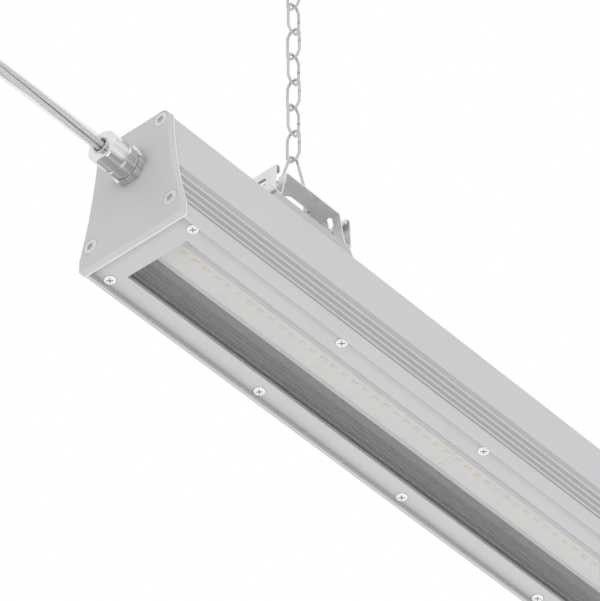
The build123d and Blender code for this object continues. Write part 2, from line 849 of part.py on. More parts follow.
def foot_parts(end, x):
    """Foot, its screws and the nuts in the housing slot."""
    base_half = foot_top_half + foot_height * foot_slope
    with BuildPart() as foot:
        with BuildSketch(long_plane(x, housing_top_z)):
            with BuildLine():
                Polyline(
                    (-base_half, 0),
                    (-foot_top_half, foot_height),
                    (foot_top_half, foot_height),
                    (base_half, 0),
                    close=True,
                )
            make_face()
        extrude(amount=foot_half_width, both=True)
        with BuildSketch(Plane(origin=(x, 0, housing_top_z))):
            Rectangle(2 * (foot_top_half - foot_wall), 2 * (foot_half_width - foot_wall))
            with GridLocations(foot_screw_spread, 1, 2, 1):
                Circle(foot_boss_radius, mode=Mode.SUBTRACT)
        extrude(amount=foot_height - foot_head_height - foot_floor, mode=Mode.SUBTRACT)
        with Locations(Plane(origin=(x, 0, foot_top_z))):
            with GridLocations(foot_screw_spread, 1, 2, 1):
                CounterBoreHole(
                    radius=foot_screw_radius + screw_clearance,
                    counter_bore_radius=foot_head_radius + screw_clearance,
                    counter_bore_depth=foot_head_height + foot_head_sunk,
                    depth=foot_height,
                )
            rivet_x = (bracket_web_half + bracket_plate_half + bracket_leg_spread) / 2
            rivet_x = min(rivet_x, foot_top_half - rivet_radius - rivet_margin)
            with GridLocations(2 * rivet_x, 2 * rivet_spread, 2, 2):
                Hole(radius=rivet_radius + screw_clearance, depth=rivet_length)
    save(foot, f"mounting_foot_{end}")

    head_seat_z = foot_top_z - foot_head_height - foot_head_sunk
    with BuildPart() as foot_screws:
        with BuildSketch(Plane(origin=(x, 0, head_seat_z))):
            with GridLocations(foot_screw_spread, 1, 2, 1):
                Circle(foot_head_radius)
        extrude(amount=foot_head_height)
        with BuildSketch(Plane(origin=(x, 0, head_seat_z + foot_head_height))):
            with GridLocations(foot_screw_spread, 1, 2, 1):
                RegularPolygon(foot_key_across / 2, 6, major_radius=False)
        extrude(amount=-foot_key_depth, mode=Mode.SUBTRACT)
        with BuildSketch(Plane(origin=(x, 0, head_seat_z))):
            with GridLocations(foot_screw_spread, 1, 2, 1):
                Circle(foot_screw_radius)
        extrude(amount=housing_top_z - slot_neck_depth - foot_screw_grip - head_seat_z)
    save(foot_screws, f"foot_screws_{end}")

    with BuildPart() as slot_nuts:
        nut_top_z = housing_top_z - slot_neck_depth - nut_gap
        with BuildSketch(Plane(origin=(x, 0, nut_top_z))):
            with GridLocations(foot_screw_spread, 1, 2, 1):
                Rectangle(nut_length, slot_width - 4 * nut_gap)
                Circle(foot_screw_radius + screw_clearance, mode=Mode.SUBTRACT)
        extrude(amount=2 * nut_gap - slot_depth)
    save(slot_nuts, f"slot_nuts_{end}")

    with BuildPart() as rivets:
        rivet_seat_z = bracket_web_z + strip_thick / 2
        with BuildSketch(Plane(origin=(x, 0, rivet_seat_z))):
            with GridLocations(2 * rivet_x, 2 * rivet_spread, 2, 2):
                Circle(rivet_head_radius)
        extrude(amount=rivet_head_height)
        with BuildSketch(Plane(origin=(x, 0, rivet_seat_z))):
            with GridLocations(2 * rivet_x, 2 * rivet_spread, 2, 2):
                Circle(rivet_radius)
        extrude(amount=-rivet_length)
    save(rivets, f"bracket_rivets_{end}")
    return rivet_x


def bracket_part(end, x, rivet_x):
    """Bent strip: two upright hooks, two low webs and a raised slotted plate."""
    leg_half = bracket_plate_half + bracket_leg_spread
    hook_top = bracket_hook_height
    hook_half = bracket_web_half - bracket_hook_lean
    half_path = [
        (hook_half - bracket_lip_width, hook_top - bracket_lip_return),
        (hook_half - bracket_lip_width, hook_top),
        (hook_half, hook_top),
        (bracket_web_half, 0),
        (leg_half, 0),
        (bracket_plate_half, bracket_rise),
    ]
    strip_path = [(-across, up) for across, up in half_path]
    strip_path += [(across, up) for across, up in reversed(half_path)]
    half_radii = [lip_radius, lip_radius, bend_radius, bend_radius, bend_radius]
    with BuildPart() as bracket:
        with BuildSketch(long_plane(x, bracket_web_z)):
            with BuildLine() as strip_line:
                FilletPolyline(*strip_path, radius=half_radii + half_radii[::-1])
            trace(lines=strip_line.line, line_width=strip_thick)
        extrude(amount=strip_half_width, both=True)
        plate_top = Plane(origin=(x, 0, bracket_plate_z + strip_thick))
        # Slots in the raised plate
        with BuildSketch(plate_top):
            SlotOverall(centre_slot_length, centre_slot_width)
            with GridLocations(2 * end_slot_offset, 1, 2, 1):
                SlotOverall(end_slot_length, end_slot_width)
        extrude(amount=-2 * strip_thick, mode=Mode.SUBTRACT)
        # Keyholes down the legs, their round ends in the plate
        keyhole_length = leg_half + keyhole_outset - bracket_plate_half + keyhole_inset
        keyhole_x = bracket_plate_half - keyhole_inset + keyhole_length / 2
        with BuildSketch(plate_top):
            with GridLocations(2 * keyhole_x, 2 * keyhole_offset, 2, 2):
                SlotOverall(keyhole_length, keyhole_width)
        extrude(amount=-keyhole_depth - strip_thick, mode=Mode.SUBTRACT)
        with BuildSketch(plate_top):
            with GridLocations(2 * keyhole_x, 2 * keyhole_offset, 2, 2):
                Rectangle(keyhole_length, keyhole_slit_width)
        extrude(amount=-keyhole_slit_depth - strip_thick, mode=Mode.SUBTRACT)
        # Cross slot and pin hole in each upright hook
        hook_window = Plane(
            origin=(x, 0, bracket_web_z + hook_slot_height), x_dir=(0, 1, 0), z_dir=(1, 0, 0)
        )
        for outward in (-1, 1):
            inner_face = outward * (hook_half - 1.5 * strip_thick)
            with BuildSketch(hook_window.offset(inner_face)):
                SlotOverall(2 * hook_slot_half, hook_slot_width)
                with Locations((-hook_hole_offset, -hook_hole_drop)):
                    Circle(hook_hole_radius)
            extrude(amount=outward * 4 * strip_thick, mode=Mode.SUBTRACT)
        # Rivet holes in the webs
        with BuildSketch(Plane(origin=(x, 0, bracket_web_z - strip_thick))):
            with GridLocations(2 * rivet_x, 2 * rivet_spread, 2, 2):
                Circle(rivet_radius + screw_clearance)
        extrude(amount=2 * strip_thick, mode=Mode.SUBTRACT)
    save(bracket, f"bracket_{end}")


def bail_part(end, x):
    """Wire bail, crowned for the chain, its toes turned out under the plate."""
    toe_z = bracket_plate_z - strip_thick / 2 - link_gap - bail_wire / 2
    half_path = [
        (bail_foot_half + bail_toe, toe_z),
        (bail_foot_half, toe_z),
        (bail_leg_half, bail_apex_z - bail_leg_drop),
        (bail_shoulder_half, bail_apex_z - bail_shoulder_drop),
        (bail_neck_half, bail_apex_z - bail_neck_drop),
        (bail_crown_half, bail_apex_z),
    ]
    wire_path = [(-across, 0, up) for across, up in half_path]
    wire_path += [(across, 0, up) for across, up in reversed(half_path)]
    half_radii = [
        bail_toe_bend,
        bail_leg_bend,
        bail_shoulder_bend,
        bail_neck_bend,
        bail_crown_bend,
    ]
    bail_plane = Plane(origin=(x, 0, 0)).rotated((0, 0, bail_turn))
    with BuildPart() as bail:
        with BuildLine(bail_plane) as wire:
            FilletPolyline(*wire_path, radius=half_radii + half_radii[::-1])
        with BuildSketch(Plane(origin=wire.line @ 0, z_dir=wire.line % 0)):
            Circle(bail_wire / 2)
        sweep(path=wire.line)
    save(bail, f"bail_{end}")


def link_part(end_name, index, x):
    """One straight sided link, bent from wire with a small butt gap."""
    half = (link_outer_width - link_wire) / 2
    centre_z = bottom_link_z + link_length / 2 + (index - 1) * link_pitch
    upright = Plane(origin=(x, 0, centre_z), x_dir=(0, 1, 0), z_dir=(1, 0, 0))
    if index % 2 == 0:
        upright = Plane(origin=(x, 0, centre_z), x_dir=(1, 0, 0), z_dir=(0, -1, 0))
    end = link_length / 2
    gap = link_butt_gap / 2
    path = [
        (half, gap),
        (half, end - link_slope),
        (link_end_half, end),
        (-link_end_half, end),
        (-half, end - link_slope),
        (-half, link_slope - end),
        (-link_end_half, -end),
        (link_end_half, -end),
        (half, link_slope - end),
        (half, -gap),
    ]
    bends = [link_side_bend, link_end_bend, link_end_bend, link_side_bend]
    with BuildPart() as link:
        with BuildLine(upright) as wire:
            FilletPolyline(*path, radius=bends + bends)
        with BuildSketch(Plane(origin=wire.line @ 0, z_dir=wire.line % 0)):
            Circle(link_wire / 2)
        sweep(path=wire.line)
    save(link, f"chain_link_{end_name}_{index}")


def hook_part(end, x):
    """Ceiling hook: screw plate and a round wire hook in one forging."""
    hook_path = [
        (0, -hook_plate_thick),
        (0, -hook_plate_thick - hook_neck),
        (hook_half_width, -hook_shoulder),
        (hook_half_width, hook_wire_z),
        (-hook_half_width, hook_wire_z),
        (-hook_half_width, hook_wire_z + hook_tip_height),
    ]
    with BuildPart() as hook:
        with BuildSketch(Plane(origin=(x, 0, 0))):
            RectangleRounded(hook_plate_length, hook_plate_width, hook_plate_corner)
            with GridLocations(plate_hole_spacing, 1, 2, 1):
                Circle(plate_hole_radius, mode=Mode.SUBTRACT)
        extrude(amount=-hook_plate_thick)
        with BuildLine(long_plane(x)) as wire:
            bends = [hook_neck_bend, hook_neck_bend, hook_bend, hook_bend]
            FilletPolyline(*hook_path, radius=bends)
        with BuildSketch(Plane(origin=wire.line @ 0, z_dir=wire.line % 0)):
            Circle(hook_wire / 2)
        sweep(path=wire.line)
    save(hook, f"ceiling_hook_{end}")


for end, x in hangers.items():
    rivet_x = foot_parts(end, x)
    bracket_part(end, x, rivet_x)
    bail_part(end, x)
    for index in range(1, links_per_chain + 1):
        link_part(end, index, x)
    hook_part(end, x)
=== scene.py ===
"""Looks of a chain hung LED batten light, built round its fixed frame."""

import json
import math
import random

import bmesh
import bpy
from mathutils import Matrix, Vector


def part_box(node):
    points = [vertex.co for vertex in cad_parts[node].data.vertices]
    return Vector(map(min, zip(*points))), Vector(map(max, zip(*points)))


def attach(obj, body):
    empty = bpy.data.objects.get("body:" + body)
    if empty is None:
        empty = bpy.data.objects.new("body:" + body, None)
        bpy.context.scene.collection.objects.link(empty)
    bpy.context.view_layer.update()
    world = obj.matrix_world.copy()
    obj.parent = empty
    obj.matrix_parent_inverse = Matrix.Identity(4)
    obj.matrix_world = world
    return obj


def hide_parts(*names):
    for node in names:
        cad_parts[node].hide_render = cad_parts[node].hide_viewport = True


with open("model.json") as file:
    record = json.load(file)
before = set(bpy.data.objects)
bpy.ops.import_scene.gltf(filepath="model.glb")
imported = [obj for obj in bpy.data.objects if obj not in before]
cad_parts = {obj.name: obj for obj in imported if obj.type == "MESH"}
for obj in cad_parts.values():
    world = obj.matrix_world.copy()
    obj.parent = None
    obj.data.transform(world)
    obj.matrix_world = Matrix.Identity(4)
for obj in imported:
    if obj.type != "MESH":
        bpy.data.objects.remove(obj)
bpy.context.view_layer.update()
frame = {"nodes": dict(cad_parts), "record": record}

bl_info = {
    "name": "Batten Light",
    "version": (1, 0, 0),
    "blender": (4, 5, 0),
    "location": "View3D > Sidebar > Batten",
    "description": "Finishes, screws and cable of an LED batten light that hangs on chains",
    "category": "Object",
}

MM = 0.001

# Colours of single small pieces, as sRGB hex
BLACK_RUBBER = "2B2B2C"
GLAND_RUBBER = "DEDEDF"
GLASS_SEAL = "8E8E8F"
GLASS = "E9EBEB"
DRIVER_CASE = "E8E8E4"
TERMINAL_BLOCK = "DAD9D2"
CABLE_TIE = "232324"
COIL_STRAP = "262627"
WELD_FLASH = "8A8A8B"
BEZEL_SCREW = "F4F4F5"
# Painted shade for the bezel screws' cross recesses
CROSS_SHADE = "C8C8C9"
CAP_SCREW = "DADADB"
# Painted shade for the cap screws' star recesses
STAR_SHADE = "B4B4B5"
STUDIO_FLOOR = "FAFAFA"
STUDIO_WHITE = "FFFFFF"


def linear(text):
    """sRGB hex text to linear red, green, blue and a full alpha."""
    channels = [int(text[i : i + 2], 16) / 255 for i in (0, 2, 4)]
    return tuple(c / 12.92 if c <= 0.04045 else ((c + 0.055) / 1.055) ** 2.4 for c in channels) + (1.0,)


def colour_property(name, description, text):
    """A colour that a user may change, given as sRGB hex text."""
    return bpy.props.FloatVectorProperty(
        name=name, description=description, subtype="COLOR", size=4, min=0, max=1, default=linear(text)
    )


def length_property(name, description, millimetres):
    """A length that a user may change, given in millimetres."""
    default = millimetres * MM
    return bpy.props.FloatProperty(name=name, description=description, unit="LENGTH", default=default, min=0)


class BattenColours(bpy.types.PropertyGroup):
    """Colours of the lamp's finishes."""

    paint: colour_property("Paint", "Powder coat of housing, caps and bezel", "CBCBCC")
    # Darker than the housing's paint: painted shade for the feet's sides
    foot_shaded_paint: colour_property("Foot shaded paint", "Powder coat of the mounting feet", "C0C0C1")
    seal: colour_property("Seal", "Silicone seals under the end caps", "E4E4E4")
    board: colour_property("Board", "Solder mask of the boards", "DCDBD9")
    package: colour_property("Package", "Moulded cup of an emitter", "E4E1DC")
    emitter: colour_property("Emitter", "Phosphor gel of the emitters", "E1D3BF")
    # The right baffle's darker grey is painted shade for the chamber's shaded side
    baffle: colour_property("Baffle", "Plastic baffle on the right of the light chamber", "7C7C7C")
    pale_baffle: colour_property("Pale baffle", "Plastic baffle on the left of the chamber", "DADADA")
    galvanised: colour_property("Galvanised", "Zinc coat of the brackets", "E2E2E3")
    wire: colour_property("Wire", "Zinc plate of chains, bails and hooks", "C6C6C7")
    stainless: colour_property("Stainless", "Screws, rivets and nuts of the feet and the driver", "E2E2E3")
    plated: colour_property("Plated brass", "Nickel plate of the cable gland", "E3E3E3")
    sheath: colour_property("Sheath", "Clear outer sheath of the cable", "ECECEC")
    core: colour_property("Core", "Insulation of the conductors and the inner leads", "DCDCDD")


class BattenSizes(bpy.types.PropertyGroup):
    """Sizes of the pieces that are modelled here."""

    screw_head: length_property("Bezel screw head", "Diameter of a bezel screw's head", 8.1)
    screw_dome: length_property("Bezel head height", "Height of a bezel screw's head", 0.8)
    cross_reach: length_property("Cross reach", "Length of the cross recess from tip to tip", 4.8)
    cross_width: length_property("Cross width", "Width of the cross recess", 1.0)
    cap_head: length_property("Cap screw head", "Diameter of a cap screw's head", 11.3)
    star_width: length_property("Star width", "Width across the six lobed recess", 5.4)
    star_depth: length_property("Star depth", "Depth of the six lobed recess", 0.5)
    baffle_wall: length_property("Baffle wall", "Thickness of the baffles", 1.2)
    cup_rim: length_property("Emitter rim", "Width of the rim round an emitter's gel", 0.16)
    edge_round: length_property("Edge", "Rounding of the bezel's edges", 0.45)
    weld_collar: length_property("Weld collar", "Height of the flash at a link's weld", 0.4)
    cable: length_property("Cable", "Outer diameter of the cable's sheath", 9.4)
    core: length_property("Core", "Diameter of one insulated conductor", 3.0)
    core_lay: length_property("Lay", "Length of one twist of the conductors", 420)
    strap_width: length_property("Strap width", "Width of a strap round the coil", 8)


def sizes():
    """The sizes that the scene holds."""
    return bpy.context.scene.batten_sizes


def colours():
    """The colours that the scene holds."""
    return bpy.context.scene.batten_colours


def add_node(tree, kind, inputs=None, links=None, **settings):
    """One node with its settings, input values and the sockets that feed it."""
    node = tree.nodes.new(kind)
    for key, value in settings.items():
        setattr(node, key, value)
    for key, value in (inputs or {}).items():
        node.inputs[key].default_value = value
    for key, socket in (links or {}).items():
        tree.links.new(socket, node.inputs[key])
    return node


def new_material(name, **principled):
    """A material with one Principled surface. Keys use underscores for spaces."""
    material = bpy.data.materials.new(name)
    material.use_nodes = True
    tree = material.node_tree
    shader = tree.nodes["Principled BSDF"]
    for key, value in principled.items():
        shader.inputs[key.replace("_", " ")].default_value = value
    return material, tree, shader


def grain(tree, scale_mm, detail=3.0, stretch=(1, 1, 1)):
    """Noise on the object's own place, with its grain size in millimetres."""
    place = add_node(tree, "ShaderNodeTexCoord")
    mapping = add_node(tree, "ShaderNodeMapping", {"Scale": stretch}, {"Vector": place.outputs["Object"]})
    return add_node(
        tree,
        "ShaderNodeTexNoise",
        {"Scale": 1 / (scale_mm * MM), "Detail": detail},
        {"Vector": mapping.outputs["Vector"]},
    )


def shade_by(tree, shader, noise, base, spread):
    """Base colour that drifts by a share of itself with the noise."""
    low = [max(0, c * (1 - spread)) for c in base[:3]] + [1]
    high = [min(1, c * (1 + spread)) for c in base[:3]] + [1]
    ramp = add_node(tree, "ShaderNodeValToRGB", links={"Fac": noise.outputs["Fac"]})
    ramp.color_ramp.elements[0].position = 0.3
    ramp.color_ramp.elements[0].color = low
    ramp.color_ramp.elements[1].position = 0.7
    ramp.color_ramp.elements[1].color = high
    tree.links.new(ramp.outputs["Color"], shader.inputs["Base Color"])


def shade_corners(tree, shader, reach_mm, darkest):
    """Painted shade: base colour darkened where the surface closes in, as in grooves and corners."""
    source = shader.inputs["Base Color"].links[0].from_socket
    openness = add_node(tree, "ShaderNodeAmbientOcclusion", {"Distance": reach_mm * MM}, samples=12)
    level = add_node(
        tree,
        "ShaderNodeMapRange",
        {"From Min": 0.6, "From Max": 1.0, "To Min": darkest, "To Max": 1.0},
        {"Value": openness.outputs["AO"]},
    )
    deepened = add_node(
        tree,
        "ShaderNodeVectorMath",
        operation="SCALE",
        links={0: source, "Scale": level.outputs["Result"]},
    )
    tree.links.new(deepened.outputs["Vector"], shader.inputs["Base Color"])


def bump_by(tree, shader, noise, depth_mm, strength):
    """Fine relief from the noise, its depth in millimetres."""
    bump = add_node(
        tree,
        "ShaderNodeBump",
        {"Strength": strength, "Distance": depth_mm * MM},
        {"Height": noise.outputs["Fac"]},
    )
    tree.links.new(bump.outputs["Normal"], shader.inputs["Normal"])


def powder_coat(name, base, darkest=0.68, reach_mm=6):
    """Powder coat on aluminium: an even satin skin with a faint orange peel, and painted shade that darkens
    it in grooves and corners.
    """
    material, tree, shader = new_material(name, Roughness=0.48, IOR=1.5)
    shade_by(tree, shader, grain(tree, 60, 2), base, spread=0.012)
    shade_corners(tree, shader, reach_mm, darkest)
    bump_by(tree, shader, grain(tree, 1.2, 2), depth_mm=0.02, strength=0.35)
    return material


def silicone(name, base):
    """Silicone rubber, pressed: soft and matt, with a fine skin."""
    material, tree, shader = new_material(name, Roughness=0.6, IOR=1.43)
    shade_by(tree, shader, grain(tree, 8), base, spread=0.02)
    bump_by(tree, shader, grain(tree, 0.8), depth_mm=0.01, strength=0.12)
    return material


def galvanised_steel(name, base):
    """Hot dipped sheet: a dull metal skin with flat crystals a few millimetres wide."""
    material, tree, shader = new_material(name, Metallic=0.52, Roughness=0.34)
    place = add_node(tree, "ShaderNodeTexCoord")
    spangle = add_node(
        tree,
        "ShaderNodeTexVoronoi",
        {"Scale": 1 / (5 * MM), "Randomness": 1.0},
        {"Vector": place.outputs["Object"]},
    )
    levels = add_node(tree, "ShaderNodeSeparateColor", links={"Color": spangle.outputs["Color"]})
    ramp = add_node(tree, "ShaderNodeValToRGB", links={"Fac": levels.outputs["Red"]})
    ramp.color_ramp.elements[0].color = [c * 0.94 for c in base[:3]] + [1]
    ramp.color_ramp.elements[1].color = [min(1, c * 1.05) for c in base[:3]] + [1]
    tree.links.new(ramp.outputs["Color"], shader.inputs["Base Color"])
    rough = add_node(
        tree,
        "ShaderNodeMapRange",
        {"To Min": 0.34, "To Max": 0.46},
        {"Value": levels.outputs["Green"]},
    )
    tree.links.new(rough.outputs["Result"], shader.inputs["Roughness"])
    bump_by(tree, shader, grain(tree, 6, 1), depth_mm=0.03, strength=0.3)
    return material


def bright_zinc(name, base):
    """Drawn wire with a bright zinc plate: smooth, with a slow drift of tone."""
    material, tree, shader = new_material(name, Metallic=0.6, Roughness=0.34)
    shade_by(tree, shader, grain(tree, 9, 1), base, spread=0.05)
    bump_by(tree, shader, grain(tree, 3, 1), depth_mm=0.02, strength=0.2)
    return material


def turned_metal(name, base, roughness):
    """Turned and polished metal with faint tool marks."""
    material, tree, shader = new_material(name, Metallic=0.9, Roughness=roughness)
    shade_by(tree, shader, grain(tree, 4), base, spread=0.02)
    bump_by(tree, shader, grain(tree, 2, 1), depth_mm=0.01, strength=0.15)
    return material


def white_coat(name, base):
    """Zinc flake coat on a screw's head: an even, nearly white skin."""
    material, tree, shader = new_material(name, Metallic=0.2, Roughness=0.4)
    shade_by(tree, shader, grain(tree, 5), base, spread=0.01)
    return material


def nickel_plate(name, base):
    """Nickel on drawn hexagon brass: bright, with draw streaks along its flats."""
    material, tree, shader = new_material(name, Metallic=1.0, Roughness=0.16)
    # Streaks drawn coarser than the real ones, which are too fine to show
    streaks = grain(tree, 2.6, 2, stretch=(0.03, 1, 1))
    # The turned crown faces along the lamp and has no streaks
    surface = add_node(tree, "ShaderNodeNewGeometry")
    facing = add_node(tree, "ShaderNodeSeparateXYZ", links={"Vector": surface.outputs["Normal"]})
    along = add_node(tree, "ShaderNodeMath", operation="ABSOLUTE", links={0: facing.outputs["X"]})
    turned = add_node(
        tree,
        "ShaderNodeMapRange",
        {"From Min": 0.1, "From Max": 0.3},
        {"Value": along.outputs[0]},
    )
    blend = add_node(
        tree,
        "ShaderNodeMix",
        {"B": 0.56},
        {"Factor": turned.outputs["Result"], "A": streaks.outputs["Fac"]},
    )
    ramp = add_node(tree, "ShaderNodeValToRGB", links={"Fac": blend.outputs["Result"]})
    ramp.color_ramp.elements[0].position = 0.4
    ramp.color_ramp.elements[0].color = [c * 0.7 for c in base[:3]] + [1]
    ramp.color_ramp.elements[1].position = 0.58
    ramp.color_ramp.elements[1].color = list(base[:3]) + [1]
    tree.links.new(ramp.outputs["Color"], shader.inputs["Base Color"])
    return material


def moulded_plastic(name, base, roughness):
    """Injection moulded plastic with a fine spark eroded skin."""
    material, tree, shader = new_material(name, Roughness=roughness, IOR=1.49)
    shade_by(tree, shader, grain(tree, 20), base, spread=0.02)
    bump_by(tree, shader, grain(tree, 0.7), depth_mm=0.015, strength=0.25)
    return material


def baffle_plastic(name, base):
    """Baffle plastic, extruded: satin, with its ribs picked out by painted shade."""
    material, tree, shader = new_material(name, Roughness=0.4, IOR=1.49)
    shade_by(tree, shader, grain(tree, 20), base, spread=0.02)
    shade_corners(tree, shader, reach_mm=3, darkest=0.5)
    return material


def core_plastic(name, base):
    """Conductor insulation, extruded PVC: smooth, with painted shade in the lines between the cores."""
    material, tree, shader = new_material(name, Roughness=0.4, IOR=1.5)
    shade_by(tree, shader, grain(tree, 20), base, spread=0.01)
    shade_corners(tree, shader, reach_mm=1.1, darkest=0.7)
    return material


def clear_pane(name):
    """Toughened soda lime glass, polished: a thin pane that lets the light through."""
    material, tree, shader = new_material(name, Roughness=0.03, IOR=1.52, Alpha=0.05)
    shade_by(tree, shader, grain(tree, 200, 1), linear(GLASS), spread=0.01)
    return material


def emitter_gel(name, base):
    """Phosphor in silicone gel: soft, warm and a little glossy."""
    material, tree, shader = new_material(name, Roughness=0.35, IOR=1.41)
    shade_by(tree, shader, grain(tree, 2), base, spread=0.03)
    return material


def clear_sheath(name, base):
    """Soft clear PVC sheath, extruded: a faint grey tint, so the cores show through."""
    # The index is kept low, so that the sheath doesn't widen the cores like a lens
    material, tree, shader = new_material(name, Roughness=0.0, IOR=1.12, Transmission_Weight=1.0)
    shade_by(tree, shader, grain(tree, 12), base, spread=0.006)
    return material


class BATTEN_OT_finishes(bpy.types.Operator):
    """Give every piece of the frame its finish"""

    bl_idname = "batten.finishes"
    bl_label = "Finishes"

    def execute(self, context):
        tint = colours()
        by_slot = {
            "lamp_paint": powder_coat("powder_coated_aluminium", tint.paint),
            "pale_seal": silicone("pale_silicone", tint.seal),
            # Stainless steel, turned: a soft grey gleam
            "stainless": turned_metal("stainless_steel", tint.stainless, roughness=0.3),
            "clear_glass": clear_pane("toughened_glass"),
            # Rubber, moulded: matt and nearly black
            "black_rubber": silicone("black_rubber", linear(BLACK_RUBBER)),
            # ABS, moulded: a middle grey, which is painted shade for the chamber's shaded side
            "dark_plastic": moulded_plastic("grey_baffle_plastic", tint.baffle, roughness=0.45),
            # Solder mask, printed: an even white with a slight sheen
            "white_board": moulded_plastic("white_solder_mask", tint.board, roughness=0.4),
            "emitter": emitter_gel("phosphor_gel", tint.emitter),
            # Polycarbonate, moulded: the plain off-white case of a driver
            "driver_case": moulded_plastic("driver_case_plastic", linear(DRIVER_CASE), roughness=0.4),
            # Polyamide, moulded: a warmer, duller white
            "terminal_plastic": moulded_plastic("terminal_nylon", linear(TERMINAL_BLOCK), roughness=0.5),
            # PVC, extruded round the wires: pale and smooth
            "lead_insulation": moulded_plastic("lead_insulation", tint.core, roughness=0.4),
            "plated_brass": nickel_plate("nickel_plated_brass", tint.plated),
            "cable_sheath": clear_sheath("clear_cable_sheath", tint.sheath),
            # Polyamide, moulded: dull black
            "tie_plastic": moulded_plastic("black_nylon", linear(CABLE_TIE), roughness=0.5),
            "galvanised": galvanised_steel("galvanised_sheet", tint.galvanised),
            "zinc_wire": bright_zinc("bright_zinc_wire", tint.wire),
        }
        # Feet: a darker paint than the housing's, painted shade for their sides
        foot_shaded_coat = powder_coat("powder_coated_foot_painted_shade", tint.foot_shaded_paint)
        # Caps: only faint painted shade in their corners
        cap_coat = powder_coat("powder_coated_cap", tint.paint, darkest=0.93)
        by_node = {
            "end_cap_front": cap_coat,
            "end_cap_rear": cap_coat,
            "mounting_foot_front": foot_shaded_coat,
            "mounting_foot_rear": foot_shaded_coat,
            "gland_seal": silicone("pale_gland_rubber", linear(GLAND_RUBBER)),
            "glass_gasket": silicone("grey_glass_seal", linear(GLASS_SEAL)),
        }
        for subpart in frame["record"]["subparts"]:
            node = subpart["node"]
            mesh = frame["nodes"][node].data
            mesh.materials.clear()
            mesh.materials.append(by_node.get(node, by_slot[subpart["material_slot"]]))
        return {"FINISHED"}


def deselect():
    """Nothing selected and object mode, before a piece is started."""
    if bpy.context.object and bpy.context.object.mode != "OBJECT":
        bpy.ops.object.mode_set(mode="OBJECT")
    bpy.ops.object.select_all(action="DESELECT")


def only(obj):
    """Select one object alone and make it active."""
    deselect()
    obj.select_set(True)
    bpy.context.view_layer.objects.active = obj


# Least part of a unit normal along an axis for a face that counts as facing it
FACING = 0.9


def faces_up(normal):
    """Test for the faces on a shape's top."""
    return normal.z > FACING


def faces_down(normal):
    """Test for the faces on a shape's underside."""
    return normal.z < -FACING


def faces_up_or_down(normal):
    """Test for the faces at both ends of an upright shape."""
    return abs(normal.z) > FACING


def pick_faces(obj, test):
    """Enter edit mode and select the faces whose normal passes the test."""
    bpy.ops.object.mode_set(mode="EDIT")
    bpy.ops.mesh.select_all(action="DESELECT")
    bpy.ops.mesh.select_mode(type="FACE")
    mesh = bmesh.from_edit_mesh(obj.data)
    for face in mesh.faces:
        face.select = test(face.normal)
    mesh.select_flush_mode()
    bmesh.update_edit_mesh(obj.data)


def extrude(offset):
    """In edit mode, extrude what is selected by an offset."""
    bpy.ops.mesh.extrude_region_move(TRANSFORM_OT_translate={"value": offset})


def modify(obj, kind, **settings):
    """Apply one modifier with its settings to a piece."""
    modifier = obj.modifiers.new(kind.title(), kind)
    for key, value in settings.items():
        setattr(modifier, key, value)
    only(obj)
    bpy.ops.object.modifier_apply(modifier=modifier.name)


def settle(obj):
    """Put a piece's place into its mesh and leave the object at the origin."""
    only(obj)
    bpy.ops.object.transform_apply(location=True, rotation=True, scale=True)


def block(centre, size):
    """A box with its centre and size in its mesh."""
    deselect()
    bpy.ops.mesh.primitive_cube_add(size=1, location=centre, scale=size)
    box = bpy.context.object
    settle(box)
    return box


def combine(obj, other, operation):
    """Add another shape to a piece or take it away, and remove the other shape."""
    modify(obj, "BOOLEAN", operation=operation, solver="EXACT", object=other)
    bpy.data.objects.remove(other)


def smooth(obj, degrees=35):
    """Smooth shading that keeps the edges sharper than an angle."""
    only(obj)
    bpy.ops.object.shade_smooth_by_angle(angle=math.radians(degrees))


def join(pieces, name):
    """Join pieces into one and give it its name."""
    deselect()
    for piece in pieces:
        piece.select_set(True)
    bpy.context.view_layer.objects.active = pieces[0]
    if len(pieces) > 1:
        bpy.ops.object.join()
    joined = bpy.context.object
    joined.name = name
    joined.data.name = name
    return joined


def copy_of(obj):
    """A copy of a piece with its own mesh."""
    twin = obj.copy()
    twin.data = obj.data.copy()
    bpy.context.collection.objects.link(twin)
    return twin


def corners(node):
    """Lowest and highest corner of a node's box, as vectors."""
    low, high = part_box(node)
    return Vector(low), Vector(high)


def solid_corners(node):
    """Lowest and highest corner of each separate solid of a node, read from its mesh."""
    mesh = bmesh.new()
    mesh.from_mesh(frame["nodes"][node].data)
    bmesh.ops.remove_doubles(mesh, verts=mesh.verts, dist=1e-6)
    waiting = set(mesh.verts)
    solids = []
    while waiting:
        to_follow = [waiting.pop()]
        found = list(to_follow)
        while to_follow:
            vertex = to_follow.pop()
            for edge in vertex.link_edges:
                other = edge.other_vert(vertex)
                if other in waiting:
                    waiting.remove(other)
                    to_follow.append(other)
                    found.append(other)
        low = Vector([min(v.co[i] for v in found) for i in range(3)])
        high = Vector([max(v.co[i] for v in found) for i in range(3)])
        solids.append((low, high))
    mesh.free()
    return sorted(solids, key=lambda pair: tuple(round(c, 5) for c in pair[0]))


def shade_recess(head, name, text, inside):
    """Painted shade on the walls and floor of a recess in a screw's head: a darker coat on those faces."""
    head.data.materials.append(white_coat(name, linear(text)))
    vertices = head.data.vertices
    heights = {round(vertex.co.z, 6) for vertex in vertices}
    ends = (min(heights), max(heights))
    for face in head.data.polygons:
        # A face that lies flush in one of the head's two ends isn't part of the recess
        flush = any(all(abs(vertices[i].co.z - end) < 1e-6 for i in face.vertices) for end in ends)
        if inside(face.center) and not flush:
            face.material_index = 1


# Bezel: how far it laps the glass, and the room round a screw's head in its sink
GLASS_LAP = 3.9 * MM
SINK_ROOM = 0.15 * MM
